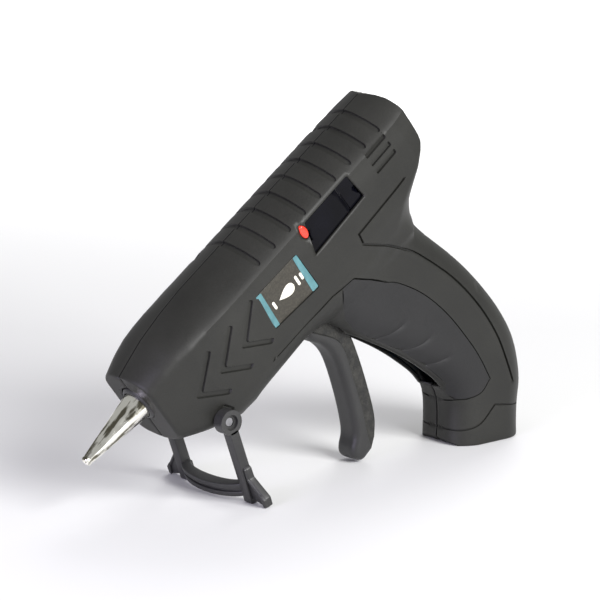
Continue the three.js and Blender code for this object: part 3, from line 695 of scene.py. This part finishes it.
def pad_face(side):
    def face(flat):
        """The shell's half width, less a rounded rim and the arcs, each a step with one soft side."""
        width = shell_half_width(flat)
        edge = np.clip(1 - away_from(flat, PAD[:PAD_HAIRLINE]) / PAD_RIM, 0, 1)
        width = width - 0.02 - PAD_DROP * (1 - np.sqrt(1 - edge * edge))
        for arc in finger_arcs:
            reach = away_from(flat, arc)
            above = inside(flat, np.vstack([arc, [[arc[-1, 0], 0], [arc[0, 0], 0]]]))
            ends = np.minimum(np.hypot(*(flat - arc[0]).T), np.hypot(*(flat - arc[-1]).T))
            soft = np.where(above, np.exp(-(reach / 3.2) ** 2), np.exp(-(reach / 0.4) ** 2))
            width = width - ARC_DEPTH * ramp(ends, 0, 6) * soft
        return at_width(flat, side * width)
    return face


def pad_back(side):
    """The same surface deeper by the pad's thickness, just over the pocket's floor."""
    return lambda flat: at_width(flat, side * (shell_half_width(flat) - PAD_THICKNESS))


rubber_finish = new_material("soft_rubber", moulded(
    (.0105, .0105, .0108, 1), (.0165, .0163, .0165, 1), 0.54, 1300, 0.00004), Specular_IOR_Level=0.42)
for name, side in (("left", -1), ("right", 1)):
    pad_lines = pad_rows + [shifted(arc, s) for arc in finger_arcs for s in (-0.3, 0.15, 0.6)]
    pad = make_mesh(name + "_pad", *plate(pad_ring, pad_face(side), pad_back(side), 1.1, pad_lines), 40)
    pad.data.materials.append(rubber_finish)
    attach(pad, "body")
    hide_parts(name + "_grip_pad")

# ---- trigger ------------------------------------------------------------------------------------
# A long lever moulded in black nylon, hung on a cross pin in the belly. Its front is smooth and rounded
# for two fingers, and behind a step its flanks are rough.

lever_ring = even(np.vstack([
    [[73.5, -31]],
    spline([[76.3, -41], [79.8, -47.5], [80.3, -57], [75.4, -74], [69, -89], [63.8, -94.2], [61.9, -97.6],
            [63.2, -101], [65.6, -102.6], [71.5, -102.2]], 1.2),
    spline([[76, -99], [81, -92.5], [85, -83], [90, -67.5], [93.2, -54], [93.6, -45], [90, -31]], 1.2),
]), 1.0)
lever_front = spline([[74.5, -31], [79.4, -38.5], [85.6, -48.5], [85.9, -56], [82.6, -67], [77.6, -83.1],
                      [72.6, -95], [70.5, -103]], 1.2)
lever_lines = [inward(lever_ring, inset) for inset in (0.08, 0.3, 0.7, 1.2, 1.8, 2.4, 3.0)]
lever_lines += [shifted(even(lever_front, 1, False), s) for s in (-0.25, 0.25)]
rear_half = np.vstack([lever_front, [[140, -103], [140, -31]]])
LEVER_HALF, LEVER_REAR_HALF = 6.45, 5.8


def lever_half_width(flat):
    """Full half width, rounded over towards the front edge and the end, and a little less behind the
    step."""
    depth = away_from(flat, lever_ring, True)
    behind = np.where(inside(flat, rear_half), 1, -1) * away_from(flat, lever_front)
    step = ramp(behind, -0.25, 0.25)
    front = round_edge(3.0, LEVER_HALF, 3.2, depth)
    rear = np.minimum(round_edge(4.6, LEVER_REAR_HALF, 1.0, depth), front)
    return front * (1 - step) + rear * step


lever_finish = new_material("black_plastic", moulded(
    (.018, .018, .018, 1), (.028, .028, .027, 1), 0.42), Specular_IOR_Level=0.5)


def rough_moulded(strand, where):
    """Coarse leathery erosion: cells of two sizes over the plain plastic."""
    cells = strand.add("TexVoronoi", {}, {"Vector": where, "Scale": 900.0})
    cloud = strand.noise(where, 420, 5)
    tone = strand.stretch(cloud, [(0.35, 0), (0.7, 1)])
    colour = strand.tint(tone, (.010, .010, .009, 1), (.034, .033, .028, 1))
    return colour, 0.62 + (cloud - 0.5) * 0.3, cells + cloud, 0.00022


rough_finish = new_material("rough_plastic", rough_moulded)
PIVOT = np.array([83, -26.5])
HUB_RADIUS, HUB_BORE, HUB_OUTER, HUB_INNER = 5.5, 2.5, 11.1, 8.6
ROUND = circle(40)


def across(side_from, side_to):
    """The two faces of a straight-sided piece that runs across the gun between two widths."""
    return [lambda flat, y=y: at_width(flat, y) for y in (side_from, side_to)]


def assembled(name, parts, sharp):
    """Several closed solids of one moulding gathered into one mesh."""
    points, faces, count = [], [], 0
    for part_points, part_faces in parts:
        points.append(part_points)
        faces += [list(face + count) for face in part_faces]
        count += len(part_points)
    return make_mesh(name, np.vstack(points), faces, sharp)


lever_solid = plate(lever_ring, lambda flat: at_width(flat, -lever_half_width(flat)),
                    lambda flat: at_width(flat, lever_half_width(flat)), 1.1, lever_lines, 6)
hub_ring, hub_bore = PIVOT + ROUND * HUB_RADIUS, PIVOT + ROUND * HUB_BORE
tine_ring = eased([[78.8, -25], [78.8, -3.5], [80.6, -3.5], [80.6, -9.4], [85.4, -9.4], [85.4, -3.5],
                   [87.2, -3.5], [87.2, -25]], 0.6, 4)
root_ring = eased([[74.2, -32.5], [79, -24.4], [87, -24.4], [90.2, -32.5]], 1.5, 5)
lever_parts = [lever_solid, plate(hub_ring, *across(-HUB_OUTER, HUB_OUTER), 2, holes=[hub_bore]),
               plate(root_ring, *across(-6.2, 6.2), 2)]
lever_parts += [plate(tine_ring, *across(*pair), 2)
                for pair in ((-HUB_OUTER, -HUB_INNER), (HUB_INNER, HUB_OUTER))]
lever = assembled("lever", lever_parts, 42)
lever.data.materials.append(lever_finish)
lever.data.materials.append(rough_finish)
# The faces behind the step get the rough finish: their middles, back in the barrel frame, say which.
middles = np.array([face.center for face in lever.data.polygons]) * 1000
along, up = middles[:, 0] - NOSE_X, middles[:, 2] - AXIS_HEIGHT
middles = np.stack([along * math.cos(TILT) + up * math.sin(TILT),
                    up * math.cos(TILT) - along * math.sin(TILT)], 1)
lever.data.polygons.foreach_set("material_index", inside(middles, rear_half).astype(np.int32))
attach(lever, "trigger")
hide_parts("trigger")

# ---- nozzle -------------------------------------------------------------------------------------
# A turned and polished nozzle, chromed, with a rounded lip at its tip. Its foot sits in a black collar
# in the nose.


def turned(profile, sides=72):
    """A profile of [x, radius] carried round the barrel's axis: y = r cos t, z = r sin t."""
    profile = np.asarray(profile, float)
    t = np.linspace(0, 2 * math.pi, sides, endpoint=False)
    x = np.repeat(profile[:, :1], sides, 1)
    rings = np.stack([x, profile[:, 1:] * np.cos(t), profile[:, 1:] * np.sin(t)], -1)
    index = np.arange(len(profile) * sides).reshape(len(profile), sides)
    low, high = index, np.roll(index, -1, 0)
    faces = np.stack([low, np.roll(low, -1, 1), np.roll(high, -1, 1), high], -1).reshape(-1, 4)
    return rings.reshape(-1, 3), faces


nozzle_profile = [[-28, 0.9], [-31.6, 0.95], [-32.45, 1.2], [-32.7, 1.6], [-32.55, 1.95], [-32.1, 2.2],
                  [-31.5, 2.15], [-31.1, 2.05], [-30.7, 2.2], [-24, 3.15], [-12, 4.8], [-1.2, 6.3],
                  [-0.6, 6.4], [0.5, 6.4], [3.4, 6.4], [3.6, 5.6], [3.6, 4], [11.5, 4], [11.5, 2.8],
                  [-6, 2.8], [-9, 1.4]]
nozzle = make_mesh("nozzle_tip", *turned(nozzle_profile, 96), 40)


def polished(strand, where):
    """Chrome over turned metal: lengthwise draw marks, dark lengthwise streaks painted in as reflections
    of dark surroundings, and heat-tinted spots.
    """
    def drawn(along, around):
        """Coordinates in the barrel's own directions, scaled along it and round it."""
        return strand.add("Mapping", {"vector_type": "TEXTURE"}, {
            "Vector": where, "Rotation": (0, -TILT, 0), "Scale": (1 / along, 1 / around, 1 / around)})

    marks = strand.noise(drawn(12, 900), 1, 4)
    stain = strand.noise(where, 260, 5)
    # Painted reflection: dark lengthwise streaks in the colour stand for dark surroundings mirrored in the
    # chrome; the heat-tinted spots mixed in with them are the metal's own.
    painted_reflection_streaks = strand.noise(drawn(5, 420), 1, 2)
    tone = strand.stretch(painted_reflection_streaks * 0.75 + stain * 0.25, [(0.46, 0), (0.53, 1)])
    colour = strand.tint(tone, (.16, .15, .11, 1), (.95, .94, .86, 1))
    return colour, 0.10 + (marks - 0.5) * 0.25 + (stain - 0.4) * 0.25, marks + stain * 0.6, 0.00006


chrome = new_material("chrome", polished, Metallic=1.0)
nozzle.data.materials.append(chrome)
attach(nozzle, "body")
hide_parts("nozzle")

collar_profile = [[-0.8, 6.7], [-0.8, 7.1], [-0.55, 7.5], [0.1, 8.1], [0.35, 8.25], [3.4, 8.3],
                  [3.4, 6.7]]
collar = make_mesh("nose_collar", *turned(collar_profile), 40)
collar.data.materials.append(lever_finish)
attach(collar, "body")
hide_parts("nozzle_collar")

# ---- windows ------------------------------------------------------------------------------------
# A smoked lens snapped in behind the opening on each side. Its rear third is a shallow step deeper,
# where the end of the glue stick can be seen.

LENS_FACE, LENS_BACK, LENS_STEP, LENS_DROP = 20.25, 19.1, 116.5, 0.3
lens_ring = even(eased(inward(WINDOW, 0.3), 0.6, 4), 1.2)
step_lines = [[[LENS_STEP + s, 13], [LENS_STEP + s + 0.5, -1]] for s in (-0.4, 0, 0.4, 0.8)]
lens_finish = new_material("smoked_lens", lambda strand, where: (
    strand.tint(strand.stretch(strand.noise(where, 60, 3), [(0.4, 0), (0.7, 1)]),
                (.0008, .0008, .0022, 1), (.0022, .0022, .0050, 1)),
    0.09 + strand.noise(where, 900, 2) * 0.06, None, 0), Specular_IOR_Level=0.12)


def lens_width(flat):
    """Flat, with its rear third a little deeper behind a soft, slanting step."""
    slant = flat[:, 0] + 0.15 * flat[:, 1]
    return LENS_FACE - LENS_DROP * ramp(slant, LENS_STEP - 0.1, LENS_STEP + 0.5)


for name, side in (("left", -1), ("right", 1)):
    lens = make_mesh(name + "_lens", *plate(
        lens_ring, lambda flat: at_width(flat, side * lens_width(flat)),
        lambda flat: at_width(flat, side * LENS_BACK), 1.6, step_lines), 40)
    lens.data.materials.append(lens_finish)
    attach(lens, "body")
    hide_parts(name + "_window")

# ---- badges -------------------------------------------------------------------------------------
# A thin printed plate glued into a recess on each side, with a raised teal bar at each end and a plain
# drop between them.

PLATE_FACE, PLATE_BACK, BAR_FACE, MARK_RISE, BED = 21.0, 20.55, 21.3, 0.12, 0.02
plate_ring = even(eased(inward(BADGE, 0.32), 1.2, 5), 1.5)
bar_rings = [eased(ring, 0.5, 4) for ring in (
    [[59.3, 6.6], [62.3, 6.4], [61.6, -10.9], [59.0, -10.6]],
    [[82.6, 6.1], [84.9, 6.0], [85.4, -12.6], [82.0, -12.5]])]
turn = np.linspace(0, 2 * math.pi, 40, endpoint=False)
drop_ring = np.array([72.0, -3.0]) + np.stack([
    4.6 * -np.cos(turn), 3.4 * np.sin(turn) * np.sin(turn / 2) ** 1.3], 1)
mark_rings = [drop_ring] + [stadium([x, -1.2 - 1.8 * up], [x, -4.8 + 1.8 * up], 1.3)
                            for x, up in ((64.4, 0.3), (79.0, 0.0), (81.6, 0.4))]
badge_finish = new_material("badge_plate", lambda strand, where: (
    strand.tint(strand.stretch(strand.noise(where, 1500, 2), [(0.4, 0), (0.66, 1)]),
                (.030, .027, .019, 1), (.050, .045, .033, 1)),
    0.36 + strand.noise(where, 300, 3) * 0.12, strand.noise(where, 2600, 2), 0.00002))
teal_finish = new_material("teal_print", lambda strand, where: (
    strand.tint(strand.stretch(strand.noise(where, 240, 3), [(0.35, 0), (0.7, 1)]),
                (.065, .19, .21, 1), (.10, .26, .28, 1)),
    0.32 + strand.noise(where, 500, 3) * 0.12, strand.noise(where, 1800, 2), 0.00002), Coat_Weight=0.3)
cream_finish = new_material("cream_print", lambda strand, where: (
    strand.tint(strand.noise(where, 500, 3), (.80, .77, .62, 1), (.95, .93, .82, 1)),
    0.40 + strand.noise(where, 500, 3) * 0.1, strand.noise(where, 1800, 2), 0.00002))


def raised(side, ring, face, back, rim):
    """A flat plate whose rim falls away in a small quarter circle."""
    def front(flat):
        return at_width(flat, side * round_edge(face - rim, face, rim, away_from(flat, ring, True)))

    rows = [inward(ring, rim * part) for part in (0.3, 1.0)]
    return plate(ring, front, lambda flat: at_width(flat, side * back), 1.5, rows)


for name, side in (("left", -1), ("right", 1)):
    pieces = [(name + "_plate", plate_ring, PLATE_FACE, PLATE_BACK, 0.15, badge_finish)]
    pieces += [(f"{name}_bar_{number}", ring, BAR_FACE, PLATE_FACE - BED, 0.12, teal_finish)
               for number, ring in enumerate(bar_rings, 1)]
    pieces += [(f"{name}_mark_{number}", ring, PLATE_FACE + MARK_RISE, PLATE_FACE - BED, 0.05,
                cream_finish) for number, ring in enumerate(mark_rings, 1)]
    for piece_name, ring, face, back, rim, finish in pieces:
        piece = make_mesh(piece_name, *raised(side, ring, face, back, rim), 40)
        piece.data.materials.append(finish)
        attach(piece, "body")
        if finish is badge_finish:
            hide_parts(name + "_badge")

# ---- power button -------------------------------------------------------------------------------
# A red oval cap in glossy ABS with a domed face, pressed against a switch behind the shell.

CAP_SIZE, CAP_RIM, CAP_DOME, CAP_BACK = np.array([1.75, 3.1]), 20.6, 0.6, 18.5
cap_ring = CAP_PLACE + ROUND * CAP_SIZE


def cap_face(flat):
    """An oval dome: the face falls towards its rim along a superellipse."""
    u = np.clip(np.hypot(*((flat - CAP_PLACE) / CAP_SIZE).T), 0, 1)
    return at_width(flat, -(CAP_RIM + CAP_DOME * np.sqrt(1 - u ** 2.6)))


def cap_back(flat):
    """Flat, just inside the shell's wall."""
    return at_width(flat, -CAP_BACK)


cap_rows = [CAP_PLACE + ROUND * CAP_SIZE * part for part in (0.97, 0.9, 0.8, 0.66, 0.5, 0.3)]
cap = make_mesh("button_cap", *plate(cap_ring, cap_face, cap_back, 0.8, cap_rows), 50)
button_finish = new_material("button_red", lambda strand, where: (
    strand.tint(strand.noise(where, 300, 3), (.78, .030, .012, 1), (.92, .045, .018, 1)),
    0.28 + strand.noise(where, 700, 3) * 0.1, strand.noise(where, 1600, 2), 0.00001), Coat_Weight=0.5)
cap.data.materials.append(button_finish)
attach(cap, "button")
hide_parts("power_button")

# ---- screws -------------------------------------------------------------------------------------
# Six zinc-plated self-tapping screws with hexagon sockets. They go in from the right and pull the two
# halves together; each head sits in its own well.

SCREW_END, HEAD_RADIUS, SOCKET_RADIUS, THREAD_RADIUS = -9.2, 2.75, 1.25, 1.4


def metal(dark, light, gloss, lengthways=(300, 300, 300), depth=0.00002):
    """Bare or plated metal: streaks along one direction, cloudy oxide, and dull spots."""
    def build(strand, where):
        streak = strand.noise(strand.add("Mapping", {}, {"Vector": where, "Scale": lengthways}), 1, 4)
        cloud = strand.noise(where, 150, 4)
        tone = strand.stretch(streak * 0.5 + cloud * 0.5, [(0.36, 0), (0.64, 1)])
        return strand.tint(tone, dark, light), gloss + (cloud - 0.5) * 0.3, streak + cloud * 0.5, depth
    return build


steel_finish = new_material("steel", metal(
    (.20, .20, .21, 1), (.42, .42, .43, 1), 0.34, (500, 500, 90)), Metallic=1.0)
for number, (x, z, top) in enumerate(screw_tops, 1):
    place = np.array([x, z])
    head, hexagon = place + ROUND * HEAD_RADIUS, place + circle(6, SOCKET_RADIUS)
    parts = [plate(
        head, lambda flat: at_width(flat, round_edge(top - 0.5, top, 0.6, away_from(flat, head, True))),
        lambda flat: at_width(flat, top - 2), 1, [place + ROUND * r for r in (2.65, 2.4, 2.15)],
        holes=[hexagon])]
    parts += [plate(place + (hexagon - place) * 1.15, *across(top - 1.3, top - 1.95), 2),
              plate(place + ROUND[::2] * THREAD_RADIUS, *across(top - 1.9, SCREW_END), 2)]
    screw = assembled(f"screw_{number}", parts, 40)
    screw.data.materials.append(steel_finish)
    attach(screw, "body")
    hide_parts(f"housing_screw_{number}")

# ---- stick guide --------------------------------------------------------------------------------
# A moulded nylon bush in the back of the gun, where the glue stick goes in, with a rolled lip.

guide_profile = [[149, 6.3], [149, 7.6], [149.3, 7.9], [163.4, 7.9], [163.6, 8.1], [163.7, 8.7],
                 [163.75, 8.2], [163.95, 7.7], [163.8, 7.1], [163.0, 6.6], [161.4, 6.2], [158, 6.1]]
guide = make_mesh("stick_bush", *turned(guide_profile, 64), 40)
guide.data.materials.append(lever_finish)
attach(guide, "body")
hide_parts("stick_guide")

# ---- stand --------------------------------------------------------------------------------------
# A folding stand moulded in nylon. Two arms hang from a pin through the nose, with a grooved shelf
# between their feet and a wing outside each. Its boss has a recess that the pin's end sits in.

STAND_LEAN = math.radians(17.7)
ARM_IN, ARM_OUT, RECESS_FLOOR, SOLE, SOLE_SLOPE = 19.2, 24.2, 22.9, -38.07, 0.352
BOSS_RADIUS, RECESS_RADIUS, PIN_RADIUS = 5.2, 3.2, 1.95
ARM_FRONT, ARM_REAR, ARM_TOP = -2.4, 2.2, -3.8


def leant(points):
    """Stand frame to barrel frame: a turn about the pivot by the stand's lean."""
    x, y, z = np.asarray(points).T
    return np.stack([x * math.cos(STAND_LEAN) + z * math.sin(STAND_LEAN) + STAND_PIVOT[0], y,
                     z * math.cos(STAND_LEAN) - x * math.sin(STAND_LEAN) + STAND_PIVOT[1]], 1)


def slab(ring, axis, low, high, rim=0.0, holes=(), spacing=2.0):
    """A flat plate at right angles to an axis, from low to high, its rims rounded off by `rim`."""
    def face(level, sign):
        def placed(flat):
            edge = np.clip(1 - away_from(flat, ring, True) / max(rim, 1e-6), 0, 1)
            height = level - sign * rim * (1 - np.sqrt(1 - edge * edge))
            return np.insert(flat, axis, height, axis=1)
        return placed
    rows = [inward(ring, rim * part) for part in (0.15, 0.5, 1)] if rim else []
    return plate(ring, face(low, -1), face(high, 1), spacing, rows, holes=holes)


def arch(width, bulge):
    """Half an ellipse that bulges forward: x = 1.5 - bulge sin t, y = width cos t."""
    t = np.linspace(0, math.pi, 36)
    return np.stack([1.5 - bulge * np.sin(t), width * np.cos(t)], 1)


def sole(x):
    """Height of the table under the stand, in the stand's own frame: it falls as the stand leans."""
    return SOLE - SOLE_SLOPE * x


def moulding(corners, side, radius, steps, step, *slab_facts):
    """A slab across the stand over corners in y and z, mirrored to its side and eased."""
    return slab(even(eased(np.array(corners) * [side, 1], radius, steps), step), 0, *slab_facts)


stand_parts = []
# The shelf is three layers: two full ones with a groove between them.
for inset, low, high in ((0, -34.4, -32.2), (1, -32.3, -30.7), (0, -30.8, -28.6)):
    shelf_ring = np.vstack([arch(22.2 - inset, 9 - inset), arch(17.2, 4)[::-1]])
    stand_parts.append(slab(shelf_ring, 2, low, high, 0.35 * (inset == 0), spacing=1.4))
for side in (-1, 1):
    near, far = sorted((side * ARM_IN, side * ARM_OUT))
    floor_side = side * RECESS_FLOOR
    arm_ring = eased([[ARM_FRONT, ARM_TOP], [ARM_FRONT, sole(ARM_FRONT) + 0.05],
                      [ARM_REAR, sole(ARM_REAR) + 0.7], [ARM_REAR, ARM_TOP]], 0.5, 4)
    stand_parts.append(slab(even(arm_ring, 1.5), 1, near, far, 0.5))
    boss, bore, recess = ROUND * BOSS_RADIUS, ROUND[::2] * PIN_RADIUS, ROUND * RECESS_RADIUS
    stand_parts.append(slab(boss, 1, *sorted((side * ARM_IN, floor_side)), 0.0, [bore]))
    stand_parts.append(slab(boss, 1, *sorted((floor_side, side * ARM_OUT)), 0.0, [recess]))
    # The wing, the thicker foot at its end, and the raised rib down its front.
    stand_parts += [
        moulding([[19.4, -18.5], [24.2, -20.5], [25.4, -21.6], [25.6, -26], [33, -33.6], [32.8, -37.5],
                  [31, -37.5], [22, -35.2], [19.4, -35.2]], side, 0.5, 4, 1.5, -1, 2.0, 0.4),
        moulding([[30.2, -31.2], [31.4, -32.2], [33, -33.8], [32.8, -37.3], [31.2, -37.3]],
                 side, 0.3, 3, 1.2, -1.9, 1.0, 0.3),
        moulding([[24.4, -20.8], [25.2, -21.4], [25.4, -26], [31.6, -32.6], [30.8, -33.4],
                  [24.4, -26.6]], side, 0.3, 3, 1.2, -1.6, 0, 0.3)]
folding = assembled("folding_stand", [(leant(points), faces) for points, faces in stand_parts], 38)
folding.data.materials.append(lever_finish)
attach(folding, "stand")
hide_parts("stand")

# ---- parts kept from the frame ------------------------------------------------------------------
# The pins and everything inside the body: melt chamber, heater, feed carriage, cell
# and wiring. They keep their shapes, and each material slot gets its own finish.


def paint(dark, light, gloss, scale=260):
    """Plain moulded or coated surface: two tones mixed by a cloudy noise, with a fine grain."""
    def build(strand, where):
        cloud, grain = strand.noise(where, scale, 4), strand.noise(where, scale * 7, 2)
        tone = strand.stretch(cloud * 0.7 + grain * 0.3, [(0.38, 0), (0.62, 1)])
        colour = strand.tint(tone, dark, light)
        return colour, gloss + (cloud - 0.5) * 0.25, grain + cloud * 0.4, 0.00003
    return build


def tracks(strand, where):
    """Solder mask with copper tracks under it: thin bands of a wave, broken up by a noise."""
    wave = strand.add("TexWave", {"wave_type": "BANDS"}, {
        "Vector": where, "Scale": 240, "Distortion": 3.0})
    band = strand.stretch(wave * strand.stretch(strand.noise(where, 160, 2), [(0.44, 0), (0.52, 1)]),
                          [(0.45, 0), (0.6, 1)])
    colour = strand.tint(band, (.010, .085, .030, 1), (.030, .20, .075, 1))
    return colour, 0.28 + band * 0.12, band, 0.00004


def sleeve(strand, where):
    """Shrink sleeve: blue film with paler rings where it has drawn tight, and fine creases."""
    crease = strand.noise(strand.add("Mapping", {}, {"Vector": where, "Scale": (90, 90, 900)}), 1, 4)
    tone = strand.stretch(crease * 0.6 + strand.noise(where, 45, 3) * 0.4, [(0.4, 0), (0.62, 1)])
    colour = strand.tint(tone, (.012, .10, .30, 1), (.03, .19, .46, 1))
    return colour, 0.26 + crease * 0.2, crease, 0.00005


finishes = {
    "housing_plastic": housing_finish, "black_plastic": lever_finish, "soft_rubber": rubber_finish,
    "nozzle_metal": chrome, "smoked_window": lens_finish, "badge_plate": badge_finish,
    "button_red": button_finish, "steel": steel_finish,
    "aluminium": new_material("aluminium", metal(
        (.36, .36, .37, 1), (.58, .58, .59, 1), 0.46, (420, 420, 420), 0.00006), Metallic=1.0),
    "silicone": new_material("silicone", paint((.33, .040, .016, 1), (.47, .065, .025, 1), 0.58)),
    "ceramic": new_material("ceramic", paint((.62, .58, .48, 1), (.76, .72, .62, 1), 0.72, 420)),
    "cream_plastic": new_material("cream_plastic", paint((.62, .57, .45, 1), (.74, .69, .57, 1), 0.42)),
    "circuit": new_material("circuit", tracks),
    "cell_sleeve": new_material("cell_sleeve", sleeve, Coat_Weight=0.4),
    "wire_red": new_material("wire_red", paint((.36, .012, .009, 1), (.52, .024, .018, 1), 0.38, 500)),
    "wire_black": new_material("wire_black", paint(
        (.007, .007, .008, 1), (.016, .016, .017, 1), 0.38, 500)),
}
for part in frame["record"]["subparts"]:
    kept = frame["nodes"][part["node"]]
    if not kept.material_slots:
        kept.data.materials.append(None)
    for place in kept.material_slots:
        place.material = finishes[part["material_slot"]]

# ---- table and light ----------------------------------------------------------------------------
# A pale matt table and a white studio: a large soft light over the gun's left, a weak one behind it, a
# cool one in front of the nose, and one on the far part of the table that keeps it bright.

FLOOR_REACH = 4
floor_mesh = bpy.data.meshes.new("floor")
floor_mesh.from_pydata([(x * FLOOR_REACH, y * FLOOR_REACH, 0) for x, y in (
    (-1, -1), (1, -1), (1, 1), (-1, 1))], [], [(0, 1, 2, 3)])
floor_piece = bpy.data.objects.new("floor", floor_mesh)
bpy.context.scene.collection.objects.link(floor_piece)
floor_finish = bpy.data.materials.new("floor")
floor_finish.use_nodes = True
floor_shader = floor_finish.node_tree.nodes["Principled BSDF"]
floor_shader.inputs["Base Color"].default_value = (.85, .85, .85, 1)
floor_shader.inputs["Roughness"].default_value = 0.6
floor_piece.data.materials.append(floor_finish)
world = bpy.data.worlds.new("world")
bpy.context.scene.world = world
world.use_nodes = True
background = world.node_tree.nodes["Background"]
background.inputs["Color"].default_value = (1, 1, 1, 1)
background.inputs["Strength"].default_value = 0.40


def softbox(name, place, aim, size, power, colour=(1, 1, 1)):
    """A square area light at `place` that faces `aim`."""
    data = bpy.data.lights.new(name, "AREA")
    data.size, data.energy, data.color = size, power, colour
    lamp = bpy.data.objects.new(name, data)
    bpy.context.scene.collection.objects.link(lamp)
    lamp.location = place
    lamp.rotation_euler = (Vector(aim) - Vector(place)).to_track_quat("-Z", "Y").to_euler()


softbox("key", (0.15, -1.25, 0.85), (0, 0, 0.07), 0.8, 26)
softbox("rim", (0.9, 0.6, 0.9), (0, 0, 0.08), 0.6, 5)
softbox("fill", (-1.1, -0.25, 0.22), (0, 0, 0.07), 0.6, 9, (.78, .72, 1))
softbox("backdrop", (1.0, 1.3, 1.6), (1.9, 2.5, 0.3), 2.2, 70)
bpy.context.scene.view_settings.view_transform = "Standard"
